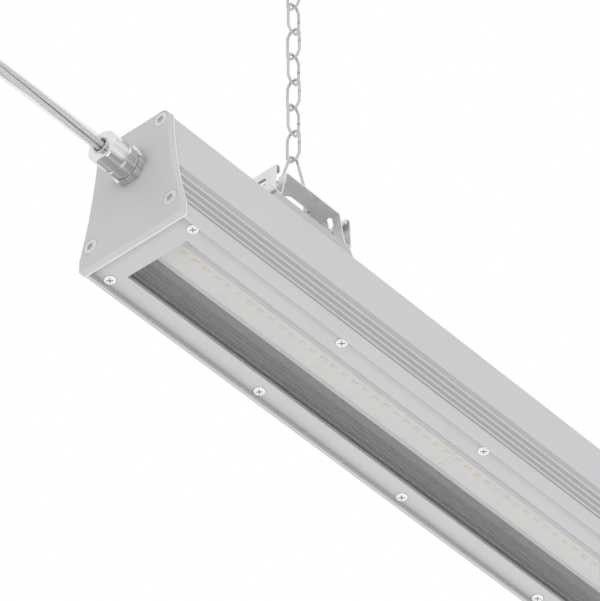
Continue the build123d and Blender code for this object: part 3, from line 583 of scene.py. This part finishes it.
# Sealing bead: width, its middle outside the bezel's edge, its set back from the bezel's face,
# and the shallow channel in its own face: edge and depth
BEAD_WIDTH = 0.5 * MM
BEAD_CENTRE = 0.12 * MM
BEAD_SUNK = 0.12 * MM
BEAD_EDGE = 0.25 * BEAD_WIDTH
BEAD_HOLLOW = 0.1 * BEAD_WIDTH
# Thin liner beside the bead: its middle outside the bezel's edge, its wall, its reach above and
# below the bezel's face, and the rounding of its lower edge
LINER_PLACE = 0.28 * MM
LINER_WALL = 0.14 * MM
LINER_TOP = 1.2 * MM
LINER_DROP = 2.95 * MM
LINER_ROUND = 0.4 * LINER_WALL
# Corners of a turned head's outline
HEAD_SIDES = 40


class BATTEN_OT_bezel(bpy.types.Operator):
    """Bezel frame with rounded edges, its window and its screw sinks"""

    bl_idname = "batten.bezel"
    bl_label = "Bezel"

    def execute(self, context):
        size = sizes()
        low, high = corners("bezel_frame")
        middle = (low + high) / 2
        bezel = block(middle, high - low)
        glass_low, glass_high = corners("glass_cover")
        opening = glass_high - glass_low - 2 * Vector((GLASS_LAP, GLASS_LAP, 0))
        window = block(middle, (opening.x, opening.y, 4 * (high.z - low.z)))
        combine(bezel, window, "DIFFERENCE")
        modify(bezel, "BEVEL", width=size.edge_round, segments=3, limit_method="ANGLE")
        # A cone at each screw, a little wider than the head
        sink = size.screw_head / 2 + 2 * SINK_ROOM
        cones = []
        for screw_low, screw_high in solid_corners("bezel_screws"):
            place = (screw_low + screw_high) / 2
            place.z = low.z - SINK_ROOM + sink / 2
            deselect()
            bpy.ops.mesh.primitive_cone_add(
                vertices=HEAD_SIDES, radius1=sink, radius2=0, depth=sink, location=place
            )
            cones.append(context.object)
        cutter = join(cones, "sinks")
        settle(cutter)
        combine(bezel, cutter, "DIFFERENCE")
        bezel.name = "bezel_plate"
        smooth(bezel, 20)
        # Deep painted shade towards the housing's lips and in the screw sinks
        coat = powder_coat("powder_coated_bezel", colours().paint, darkest=0.66, reach_mm=8)
        bezel.data.materials.append(coat)
        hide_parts("bezel_frame")
        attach(bezel, "lamp")
        self.beads(low, high)
        return {"FINISHED"}

    def beads(self, low, high):
        """Pale sealing beads that close the slits between bezel and housing."""
        middle = (low.x + high.x) / 2
        length = high.x - low.x
        pieces = []
        for side, edge in ((-1, low.y), (1, high.y)):
            liner = block(
                (middle, edge + side * LINER_PLACE, low.z + (LINER_TOP - LINER_DROP) / 2),
                (length, LINER_WALL, LINER_TOP + LINER_DROP),
            )
            pick_faces(liner, faces_down)
            bpy.ops.mesh.bevel(offset=LINER_ROUND, segments=2, affect="EDGES")
            bpy.ops.object.mode_set(mode="OBJECT")
            bead = block(
                (middle, edge + side * BEAD_CENTRE, low.z + BEAD_SUNK + BEAD_WIDTH),
                (length, BEAD_WIDTH, 2 * BEAD_WIDTH),
            )
            pick_faces(bead, faces_down)
            bpy.ops.mesh.inset(thickness=BEAD_EDGE)
            bpy.ops.transform.translate(value=(0, 0, BEAD_HOLLOW))
            bpy.ops.object.mode_set(mode="OBJECT")
            pieces += [liner, bead]
        beads = join(pieces, "bezel_beads")
        # Housing paint, with faint painted shade in its corners
        beads.data.materials.append(powder_coat("coated_bead", colours().paint, darkest=0.85))
        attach(beads, "lamp")


# Chain: links at each end, their wire, how far a weld's two collars stand out, and their distance
LINK_COUNT = 7
LINK_WIRE = 2 * MM
WELD_PROUD = 0.08 * MM
WELD_GAP = 1.5 * MM
COLLAR_SIDES = 20


class BATTEN_OT_welds(bpy.types.Operator):
    """Flash of the butt weld in the middle of one leg of each chain link"""

    bl_idname = "batten.welds"
    bl_label = "Chain welds"

    def execute(self, context):
        for end in ("front", "rear"):
            collars = {f"chain_{end}": [], f"top_link_{end}": []}
            for index in range(1, LINK_COUNT + 1):
                low, high = corners(f"chain_link_{end}_{index}")
                leg = (low + high) / 2
                if high.x - low.x > high.y - low.y:
                    leg.x = high.x - LINK_WIRE / 2
                else:
                    leg.y = low.y + LINK_WIRE / 2
                body = f"top_link_{end}" if index == LINK_COUNT else f"chain_{end}"
                for lift in (-WELD_GAP / 2, WELD_GAP / 2):
                    collars[body].append(self.collar(context, leg + Vector((0, 0, lift))))
            for body, pieces in collars.items():
                welds = join(pieces, f"welds_{body}")
                smooth(welds, 40)
                # Steel burnt by the weld: a dull dark ring
                flash = turned_metal(f"weld_flash_{body}", linear(WELD_FLASH), roughness=0.5)
                welds.data.materials.append(flash)
                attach(welds, body)
        return {"FINISHED"}

    def collar(self, context, place):
        """One low ring of flash round a link's wire."""
        deselect()
        bpy.ops.mesh.primitive_cylinder_add(
            vertices=COLLAR_SIDES,
            radius=LINK_WIRE / 2 + WELD_PROUD,
            depth=sizes().weld_collar,
            location=place,
        )
        collar = context.object
        settle(collar)
        pick_faces(collar, faces_up_or_down)
        bpy.ops.mesh.bevel(offset=WELD_PROUD, segments=2, affect="EDGES")
        bpy.ops.object.mode_set(mode="OBJECT")
        return collar


# Bezel screw, as shares of its head: height that is rounded off and depth of the cone in radii
HEAD_ROUND = 0.94
HEAD_CONE = 0.44
# Cross recess: depth, narrowing to its floor and the part of the head's radius that holds it
CROSS_DEPTH = 1.7 * MM
CROSS_TAPER = 0.55
CROSS_ROOM = 0.62
# Angle in degrees at which the screws came to a stop, and its play from screw to screw
CROSS_TURN = 41
CROSS_PLAY = 4


class BATTEN_OT_bezel_screws(bpy.types.Operator):
    """Raised countersunk screws with a cross recess along both edges of the bezel"""

    bl_idname = "batten.bezel_screws"
    bl_label = "Bezel screws"

    def execute(self, context):
        size = sizes()
        radius = size.screw_head / 2
        dome = size.screw_dome
        # Head: a thin disc, its lower rim rounded off, and the sunk cone above it
        deselect()
        bpy.ops.mesh.primitive_cylinder_add(
            vertices=HEAD_SIDES, radius=radius, depth=dome, location=(0, 0, -dome / 2)
        )
        head = context.object
        settle(head)
        pick_faces(head, faces_down)
        bpy.ops.mesh.bevel(offset=dome * HEAD_ROUND, segments=6, profile=0.5, affect="EDGES")
        pick_faces(head, faces_up)
        extrude((0, 0, radius * HEAD_CONE))
        bpy.ops.transform.resize(value=(1 - HEAD_CONE, 1 - HEAD_CONE, 1))
        bpy.ops.object.mode_set(mode="OBJECT")
        combine(head, self.cross_cutter(size, dome), "DIFFERENCE")
        head.data.materials.append(white_coat("white_screw_coat", linear(BEZEL_SCREW)))
        room = radius * CROSS_ROOM
        # The cross recess takes a darker coat: painted shade
        shade_recess(
            head, "screw_cross_painted_shade", CROSS_SHADE, lambda place: max(abs(place.x), abs(place.y)) < room
        )
        # One head at each screw, all stopped at nearly the same angle
        angles = random.Random(7)
        heads = []
        for low, high in solid_corners("bezel_screws"):
            twin = copy_of(head)
            twin.location = ((low.x + high.x) / 2, (low.y + high.y) / 2, low.z + dome)
            twin.rotation_euler.z = math.radians(CROSS_TURN + angles.uniform(-CROSS_PLAY, CROSS_PLAY))
            settle(twin)
            heads.append(twin)
        bpy.data.objects.remove(head)
        screws = join(heads, "bezel_screw_heads")
        smooth(screws)
        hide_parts("bezel_screws")
        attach(screws, "lamp")
        return {"FINISHED"}

    def cross_cutter(self, size, dome):
        """Two crossed arms, shorter and narrower at the recess's floor."""
        arms = []
        for turn in (0, math.pi / 2):
            arm = block((0, 0, -dome / 4), (size.cross_reach, size.cross_width, CROSS_DEPTH))
            arm.rotation_euler.z = turn
            settle(arm)
            pick_faces(arm, faces_up)
            bpy.ops.transform.resize(value=(CROSS_TAPER, CROSS_TAPER, 1))
            bpy.ops.object.mode_set(mode="OBJECT")
            arms.append(arm)
        combine(arms[0], arms[1], "UNION")
        return arms[0]


# Cap screw: radius of the shank and depth of the cone in radii of the head, the flare from shank
# to head, and the bevel of the head's rim
SHANK = 0.5
CAP_CONE = 0.5
CAP_FLARE = 1.98
CAP_RIM = 0.18 * MM
# Six lobed star: lobes, half the depth of its waists in radii, and corners of its outline
STAR_LOBES = 6
STAR_WAIST = 0.145
STAR_SIDES = 48
# The star's walls lie within its radius times this
STAR_ROOM = 1.02


class BATTEN_OT_cap_screws(bpy.types.Operator):
    """Countersunk screws with a six lobed recess in both end caps"""

    bl_idname = "batten.cap_screws"
    bl_label = "Cap screws"

    def execute(self, context):
        low, high = solid_corners("end_cap_screws_front")[0]
        head = self.head(context, high.x - low.x)
        head.rotation_mode = "QUATERNION"
        for end, outward in (("front", -1), ("rear", 1)):
            turn = Vector((0, 0, 1)).rotation_difference(Vector((outward, 0, 0)))
            heads = []
            for low, high in solid_corners(f"end_cap_screws_{end}"):
                twin = copy_of(head)
                twin.rotation_quaternion = turn
                twin.location = (low + high) / 2
                settle(twin)
                heads.append(twin)
            screws = join(heads, f"cap_screw_heads_{end}")
            smooth(screws)
            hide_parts(f"end_cap_screws_{end}")
            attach(screws, "lamp")
        bpy.data.objects.remove(head)
        return {"FINISHED"}

    def head(self, context, depth):
        """One screw that stands on its shank, with its star in the upper face."""
        size = sizes()
        radius = size.cap_head / 2
        deselect()
        bpy.ops.mesh.primitive_cylinder_add(vertices=HEAD_SIDES, radius=radius * SHANK, depth=depth)
        head = context.object
        # The outer end flares to the countersunk head, with a small rim
        pick_faces(head, faces_up)
        bpy.ops.transform.translate(value=(0, 0, -radius * CAP_CONE))
        extrude((0, 0, radius * CAP_CONE))
        bpy.ops.transform.resize(value=(CAP_FLARE, CAP_FLARE, 1))
        bpy.ops.mesh.bevel(offset=CAP_RIM, segments=2, affect="EDGES")
        bpy.ops.object.mode_set(mode="OBJECT")
        star = self.star_cutter(context, size.star_width / 2, size.star_depth, depth / 2)
        combine(head, star, "DIFFERENCE")
        head.data.materials.append(white_coat("cap_screw_coat", linear(CAP_SCREW)))
        room = size.star_width / 2 * STAR_ROOM
        # The star recess takes a darker coat: painted shade
        shade_recess(
            head, "star_recess_painted_shade", STAR_SHADE, lambda place: place.xy.length < room and place.z > 0
        )
        return head

    def star_cutter(self, context, radius, depth, face):
        """Six lobed prism that reaches a little way into the head's face."""
        deselect()
        bpy.ops.mesh.primitive_cylinder_add(
            vertices=STAR_SIDES, radius=radius, depth=2 * depth, location=(0, 0, face)
        )
        star = context.object
        for vertex in star.data.vertices:
            angle = math.atan2(vertex.co.y, vertex.co.x)
            pinch = 1 - STAR_WAIST * (1 - math.cos(STAR_LOBES * angle))
            vertex.co.x *= pinch
            vertex.co.y *= pinch
        return star


# Section of a baffle: cove, ribbed slope and the foot on the housing's ledge
SLOPE_WIDTH = 12.9 * MM
SLOPE_HEIGHT = 7.8 * MM
COVE_WIDTH = 5.7 * MM
COVE_DROP = 3.2 * MM
COVE_STEPS = 10
SEAT_LIFT = 0.3 * MM
FOOT_LIFT = 2.4 * MM
RIB_COUNT = 3
RIB_HEIGHT = 0.8 * MM
RIB_STEPS = 8


class BATTEN_OT_baffles(bpy.types.Operator):
    """Baffles of the light chamber: a cove beside the boards, then a ribbed slope"""

    bl_idname = "batten.baffles"
    bl_label = "Baffles"

    def execute(self, context):
        # The right baffle is darker than the left: painted shade for the chamber's shaded side
        tints = {"left": colours().pale_baffle, "right": colours().baffle}
        for side, name in ((-1, "left"), (1, "right")):
            low, high = corners(f"side_baffle_{name}")
            inner = high.y if side < 0 else low.y
            path = self.section(high.z - low.z, high.y - low.y)
            deselect()
            bpy.ops.mesh.primitive_grid_add(x_subdivisions=1, y_subdivisions=len(path) - 1, size=2)
            sheet = context.object
            # Each row of the grid takes one point of the section
            for vertex in sheet.data.vertices:
                row = round((vertex.co.y + 1) / 2 * (len(path) - 1))
                across, height = path[row]
                along = low.x if vertex.co.x < 0 else high.x
                vertex.co = (along, inner + side * across, low.z + height)
            modify(sheet, "SOLIDIFY", thickness=sizes().baffle_wall, offset=side)
            bpy.ops.object.mode_set(mode="EDIT")
            bpy.ops.mesh.select_all(action="SELECT")
            bpy.ops.mesh.normals_make_consistent(inside=False)
            bpy.ops.object.mode_set(mode="OBJECT")
            sheet.name = f"baffle_{name}"
            smooth(sheet, 40)
            sheet.data.materials.append(baffle_plastic(f"{name}_baffle_plastic", tints[name]))
            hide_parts(f"side_baffle_{name}")
            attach(sheet, "lamp")
        return {"FINISHED"}

    def section(self, tall, wide):
        """Points of the section, from the web out to the foot, from the box's low inner corner."""
        cove = [
            (COVE_WIDTH * math.sin(turn), SLOPE_HEIGHT - COVE_DROP * (1 - math.cos(turn)))
            for turn in (math.radians(90 * step / COVE_STEPS) for step in range(COVE_STEPS + 1))
        ]
        start = Vector(cove[-1])
        end = Vector((SLOPE_WIDTH, SEAT_LIFT))
        run = end - start
        proud = Vector((run.y, -run.x)).normalized() * RIB_HEIGHT
        steps = RIB_COUNT * RIB_STEPS
        slope = []
        for step in range(1, steps):
            rise = (1 - math.cos(2 * math.pi * RIB_COUNT * step / steps)) / 2
            slope.append(tuple(start + run * (step / steps) - proud * rise))
        foot = (SLOPE_WIDTH, FOOT_LIFT)
        return [(0, tall), *cove, *slope, tuple(end), foot, (wide, FOOT_LIFT)]


# Emitter: height of its cup, as a share of the solid's
CUP_HEIGHT = 0.5
# In heights of the cup: depth of its well, the gel's place under its middle and the gel's dome
WELL_DEPTH = 0.5
GEL_PLACE = 0.36
GEL_DOME = 0.1
# Narrowing of the well to its floor, along and across, and the gel's edge in widths of the rim
WELL_TAPER = (0.9, 0.84, 1)
GEL_EDGE = 0.6


class BATTEN_OT_emitters(bpy.types.Operator):
    """Emitters: a pale moulded cup with a slightly domed fill of phosphor gel"""

    bl_idname = "batten.emitters"
    bl_label = "Emitters"

    def execute(self, context):
        tint = colours()
        rim = sizes().cup_rim
        solids = solid_corners("led_chips")
        low, high = solids[0]
        length, width, height = high - low
        # The cups are drawn flat on the board, so that their sides don't cast a hard line
        sunk = Vector((0, 0, height * (1 - CUP_HEIGHT) / 2))
        height *= CUP_HEIGHT
        # Cup: a small block with a rim round a shallow well, open downwards
        cup = block((0, 0, 0), (length, width, height))
        pick_faces(cup, faces_down)
        bpy.ops.mesh.inset(thickness=rim)
        extrude((0, 0, height * WELL_DEPTH))
        bpy.ops.transform.resize(value=WELL_TAPER)
        bpy.ops.object.mode_set(mode="OBJECT")
        # Gel: a plate that fills the well, its middle pushed a little out
        deselect()
        bpy.ops.mesh.primitive_plane_add(size=1, location=(0, 0, -height * GEL_PLACE))
        gel = context.object
        gel.scale = (length - 2 * rim, width - 2 * rim, 1)
        gel.rotation_euler.x = math.pi
        settle(gel)
        bpy.ops.object.mode_set(mode="EDIT")
        bpy.ops.mesh.select_all(action="SELECT")
        bpy.ops.mesh.inset(thickness=rim * GEL_EDGE)
        bpy.ops.transform.translate(value=(0, 0, -height * GEL_DOME))
        bpy.ops.object.mode_set(mode="OBJECT")
        # Cup of heat proof nylon, moulded: a warm matt white
        cup_finish = moulded_plastic("emitter_cup", tint.package, roughness=0.4)
        gel_finish = emitter_gel("emitter_gel", tint.emitter)
        for model, name, finish, slot in (
            (cup, "emitter_cups", cup_finish, "white_board"),
            (gel, "emitter_gels", gel_finish, "emitter"),
        ):
            copies = []
            for low, high in solids:
                twin = copy_of(model)
                twin.location = (low + high) / 2 + sunk
                copies.append(twin)
            bpy.data.objects.remove(model)
            piece = join(copies, name)
            settle(piece)
            piece.data.materials.append(finish)
            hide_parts("led_chips")
            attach(piece, "lamp")
        return {"FINISHED"}


# The cable's route: out of the gland, straight, then down to the coil
CABLE_ROUTE = [
    (-0.137, 0, -0.31225),
    (-0.26, 0, -0.31225),
    (-0.288, 0, -0.31225),
    (-0.31225, 0, -0.32625),
    (-0.32625, 0, -0.3505),
    (-0.32625, 0, -0.3785),
]
# Coil: turns, points on a turn, radius of the middle line and the step from strand to strand
COIL_TURNS = 2
COIL_POINTS = 16
COIL_RADIUS = 51 * MM
STRAND_STEP = 9.6 * MM
# Tail under the coil: length, lean to one side and the share of its length where it turns straight
TAIL_LENGTH = 81 * MM
TAIL_LEAN = 1 * MM
TAIL_KNEE = 0.3
# Bared conductors: length, points on it and how much they spread from point to point
BARE_LENGTH = 28 * MM
BARE_POINTS = 6
BARE_SPREAD = 0.12
# Conductors, and their middles' distance from the cable's own in core radii, so that they touch
CORE_COUNT = 3
CORE_PLACE = 1.16
# Straps: share of a turn and side of the coil for each, height from the coil's middle, room round
# the strands, wall and edge
STRAP_PLACES = ((0.75, 1), (0.25, -1))
STRAP_LIFT = 50 * MM
STRAP_ROOM = 0.2 * MM
STRAP_WALL = 1.1 * MM
STRAP_EDGE = 0.25 * MM
STRAP_SIDES = 48


class BATTEN_OT_cable(bpy.types.Operator):
    """Power cable: a clear sheath round three slowly twisting conductors"""

    bl_idname = "batten.cable"
    bl_label = "Power cable"

    def route(self):
        """Control points of the whole cable, the coil's turns by a loop."""
        points = [Vector(point) for point in CABLE_ROUTE]
        low, high = corners("cable_coil")
        middle = (low + high) / 2
        for step in range(COIL_TURNS * COIL_POINTS + 1):
            angle = 2 * math.pi * step / COIL_POINTS
            across = COIL_RADIUS * math.cos(angle)
            down = COIL_RADIUS * math.sin(angle)
            points.append(Vector((middle.x + across, STRAND_STEP * step / COIL_POINTS, middle.z - down)))
        last = points[-1]
        points.append(last + Vector((-TAIL_LEAN, 0, -TAIL_KNEE * TAIL_LENGTH)))
        points.append(last + Vector((-TAIL_LEAN, 0, -TAIL_LENGTH)))
        return points

    def spline(self, name, points, kind="NURBS"):
        """A curve object through or along the points."""
        curve = bpy.data.curves.new(name, "CURVE")
        curve.dimensions = "3D"
        line = curve.splines.new(kind)
        line.points.add(len(points) - 1)
        for target, point in zip(line.points, points):
            target.co = (*point, 1)
        if kind == "NURBS":
            line.order_u = 3
            line.use_endpoint_u = True
        curve.resolution_u = 10
        obj = bpy.data.objects.new(name, curve)
        bpy.context.collection.objects.link(obj)
        return obj

    def execute(self, context):
        size = sizes()
        tint = colours()
        sheath = self.spline("cable_sheath", self.route())
        context.view_layer.update()
        line = bpy.data.meshes.new_from_object(sheath)
        path = [vertex.co.copy() for vertex in line.vertices]
        bpy.data.meshes.remove(line)
        sheath.data.bevel_depth = size.cable / 2
        sheath.data.bevel_resolution = 6
        sheath.data.use_fill_caps = True
        sheath.data.materials.append(clear_sheath("clear_sheath", tint.sheath))
        # Clear, so it throws no shadow on the cores
        sheath.visible_shadow = False
        # Carry the path on past the sheath for the bared conductors
        sheath_end = len(path)
        ahead = (path[-1] - path[-2]).normalized()
        path += [path[-1] + ahead * BARE_LENGTH * step / BARE_POINTS for step in range(1, BARE_POINTS + 1)]
        cores = [self.core(context, path, sheath_end, index) for index in range(CORE_COUNT)]
        conductors = join(cores, "cable_cores")
        conductors.data.materials.append(core_plastic("core_insulation", tint.core))
        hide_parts("power_cable", "cable_coil", "cable_tail")
        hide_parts("cable_conductors")
        for piece, slot in ((sheath, "cable_sheath"), (conductors, "lead_insulation")):
            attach(piece, "lamp")
        straps = self.straps(context)
        return {"FINISHED"}

    def core(self, context, path, sheath_end, index):
        """One conductor, a helix round the cable's own line."""
        size = sizes()
        radius = size.core / 2
        side = Vector((0, 1, 0))
        travelled = 0
        places = []
        for step, here in enumerate(path):
            ahead = path[min(step + 1, len(path) - 1)] - path[max(step - 1, 0)]
            ahead.normalize()
            side = (side - ahead * side.dot(ahead)).normalized()
            other = ahead.cross(side)
            if step:
                travelled += (here - path[step - 1]).length
            angle = 2 * math.pi * (travelled / size.core_lay + index / CORE_COUNT)
            reach = radius * CORE_PLACE * (1 + BARE_SPREAD * max(0, step - sheath_end + 1))
            places.append(here + side * math.cos(angle) * reach + other * math.sin(angle) * reach)
        core = self.spline(f"core_{index}", places, "POLY")
        core.data.bevel_depth = radius
        core.data.bevel_resolution = 3
        core.data.use_fill_caps = True
        only(core)
        bpy.ops.object.convert(target="MESH")
        core = context.object
        bpy.ops.object.shade_smooth()
        return core

    def straps(self, context):
        """Hook and loop straps that hold the coil's strands together."""
        size = sizes()
        low, high = corners("cable_coil")
        middle = (low + high) / 2
        spread = STRAND_STEP * (COIL_TURNS - 1) / 2
        straps = []
        for share, up in STRAP_PLACES:
            # Oval: a circle whose halves are drawn apart to the outer strands
            deselect()
            bpy.ops.mesh.primitive_circle_add(
                vertices=STRAP_SIDES, radius=size.cable / 2 + STRAP_ROOM, fill_type="NOTHING"
            )
            strap = context.object
            for vertex in strap.data.vertices:
                vertex.co = (0, vertex.co.x + (spread if vertex.co.x > 0 else -spread), vertex.co.y)
            bpy.ops.object.mode_set(mode="EDIT")
            bpy.ops.mesh.select_mode(type="EDGE")
            bpy.ops.mesh.select_all(action="SELECT")
            extrude((size.strap_width, 0, 0))
            bpy.ops.mesh.select_all(action="SELECT")
            bpy.ops.mesh.normals_make_consistent(inside=False)
            bpy.ops.object.mode_set(mode="OBJECT")
            modify(strap, "SOLIDIFY", thickness=STRAP_WALL, offset=1)
            modify(strap, "BEVEL", width=STRAP_EDGE, segments=2, limit_method="ANGLE")
            strap.location = (
                middle.x - size.strap_width / 2,
                STRAND_STEP * share + spread,
                middle.z + up * STRAP_LIFT,
            )
            settle(strap)
            straps.append(strap)
        joined = join(straps, "coil_straps")
        smooth(joined, 40)
        # Woven polyamide: dull black
        joined.data.materials.append(moulded_plastic("black_strap", linear(COIL_STRAP), roughness=0.7))
        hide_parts("cable_ties")
        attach(joined, "lamp")
        return joined


# Camera of the photograph, in the frame's metres
CAMERA_PLACE = (-1.7763, -1.5728, -2.4850)
CAMERA_LOOK = (0.5539, 0.4886, 0.6742)
CAMERA_LENS = 299.45
SENSOR = 36
# Floor: height, middle and side
FLOOR_HEIGHT = -2.72
FLOOR_MIDDLE = 0.4
FLOOR_SIDE = 14
# Light of the white air, a little less than the white that camera and gloss see
AIR_LIGHT = 0.92
AIR_SEEN = 1.0
# Area lights: name, place, side in metres and power in watts, and the place they aim at
LIGHTS = (
    ("key_light", (-2.2, -2.4, 1.2), 1.6, 3),
    ("low_fill", (0.4, -0.3, -2.65), 3.0, 15),
)
LIGHTS_AIM = (0.3, 0, -0.3)


class BATTEN_OT_stage(bpy.types.Operator):
    """Pale floor, soft white studio light and the photograph's camera"""

    bl_idname = "batten.stage"
    bl_label = "Stage"

    def execute(self, context):
        self.floor(context)
        self.world(context)
        self.lamps(context)
        self.camera(context)
        context.scene.view_settings.view_transform = "Standard"
        return {"FINISHED"}

    def floor(self, context):
        """Matt white floor with a clear underside, so that the lamp can be seen from below it."""
        deselect()
        bpy.ops.mesh.primitive_plane_add(size=FLOOR_SIDE, location=(FLOOR_MIDDLE, 0, FLOOR_HEIGHT))
        floor = context.object
        floor.name = "studio_floor"
        material, tree, shader = new_material("studio_floor", Roughness=0.8, Specular_IOR_Level=0)
        shader.inputs["Base Color"].default_value = linear(STUDIO_FLOOR)
        clear = add_node(tree, "ShaderNodeBsdfTransparent")
        back = add_node(tree, "ShaderNodeNewGeometry")
        top = add_node(
            tree,
            "ShaderNodeMixShader",
            links={0: back.outputs["Backfacing"], 1: shader.outputs[0], 2: clear.outputs[0]},
        )
        tree.links.new(top.outputs[0], tree.nodes["Material Output"].inputs["Surface"])
        floor.data.materials.append(material)

    def world(self, context):
        """White air all round, at full white for what is seen, mirrored or seen through the cable."""
        world = bpy.data.worlds.new("studio_air")
        context.scene.world = world
        world.use_nodes = True
        tree = world.node_tree
        ray = add_node(tree, "ShaderNodeLightPath")
        air = tree.nodes["Background"]
        air.inputs["Color"].default_value = linear(STUDIO_WHITE)
        air.inputs["Strength"].default_value = AIR_LIGHT
        seen = add_node(
            tree, "ShaderNodeBackground", {"Color": linear(STUDIO_WHITE), "Strength": AIR_SEEN}
        )
        full = ray.outputs["Is Camera Ray"]
        for kind in ("Transmission", "Glossy"):
            links = {0: full, 1: ray.outputs[f"Is {kind} Ray"]}
            full = add_node(tree, "ShaderNodeMath", operation="MAXIMUM", links=links).outputs[0]
        blend = add_node(
            tree, "ShaderNodeMixShader", links={0: full, 1: air.outputs[0], 2: seen.outputs[0]}
        )
        tree.links.new(blend.outputs[0], tree.nodes["World Output"].inputs["Surface"])

    def lamps(self, context):
        """A soft key from the front and above, and a wide fill from below."""
        for name, place, side, power in LIGHTS:
            light = bpy.data.lights.new(name, "AREA")
            light.size = side
            light.energy = power
            lamp = bpy.data.objects.new(name, light)
            lamp.location = place
            aim = Vector(LIGHTS_AIM) - Vector(place)
            lamp.rotation_euler = aim.to_track_quat("-Z", "Y").to_euler()
            context.collection.objects.link(lamp)

    def camera(self, context):
        """The photograph's camera, below the lamp and far off."""
        data = bpy.data.cameras.new("camera")
        data.lens = CAMERA_LENS
        data.sensor_width = SENSOR
        data.clip_start = 0.1
        data.clip_end = 100
        camera = bpy.data.objects.new("camera", data)
        camera.location = CAMERA_PLACE
        camera.rotation_mode = "QUATERNION"
        camera.rotation_quaternion = Vector(CAMERA_LOOK).to_track_quat("-Z", "Y")
        context.collection.objects.link(camera)
        context.scene.camera = camera


class BATTEN_PT_panel(bpy.types.Panel):
    """Steps of the batten light"""

    bl_label = "Batten light"
    bl_idname = "BATTEN_PT_panel"
    bl_space_type = "VIEW_3D"
    bl_region_type = "UI"
    bl_category = "Batten"

    def draw(self, context):
        for step in STEPS:
            self.layout.operator(step.bl_idname)


STEPS = [
    BATTEN_OT_finishes,
    BATTEN_OT_bezel,
    BATTEN_OT_welds,
    BATTEN_OT_bezel_screws,
    BATTEN_OT_cap_screws,
    BATTEN_OT_baffles,
    BATTEN_OT_emitters,
    BATTEN_OT_cable,
    BATTEN_OT_stage,
]
CLASSES = [BattenColours, BattenSizes, *STEPS, BATTEN_PT_panel]


def register():
    for kind in CLASSES:
        bpy.utils.register_class(kind)
    bpy.types.Scene.batten_colours = bpy.props.PointerProperty(type=BattenColours)
    bpy.types.Scene.batten_sizes = bpy.props.PointerProperty(type=BattenSizes)


def unregister():
    del bpy.types.Scene.batten_sizes
    del bpy.types.Scene.batten_colours
    for kind in reversed(CLASSES):
        bpy.utils.unregister_class(kind)


def main():
    register()
    bpy.ops.batten.finishes()
    bpy.ops.batten.bezel()
    bpy.ops.batten.welds()
    bpy.ops.batten.bezel_screws()
    bpy.ops.batten.cap_screws()
    bpy.ops.batten.baffles()
    bpy.ops.batten.emitters()
    bpy.ops.batten.cable()
    bpy.ops.batten.stage()


if __name__ == "__main__":
    main()
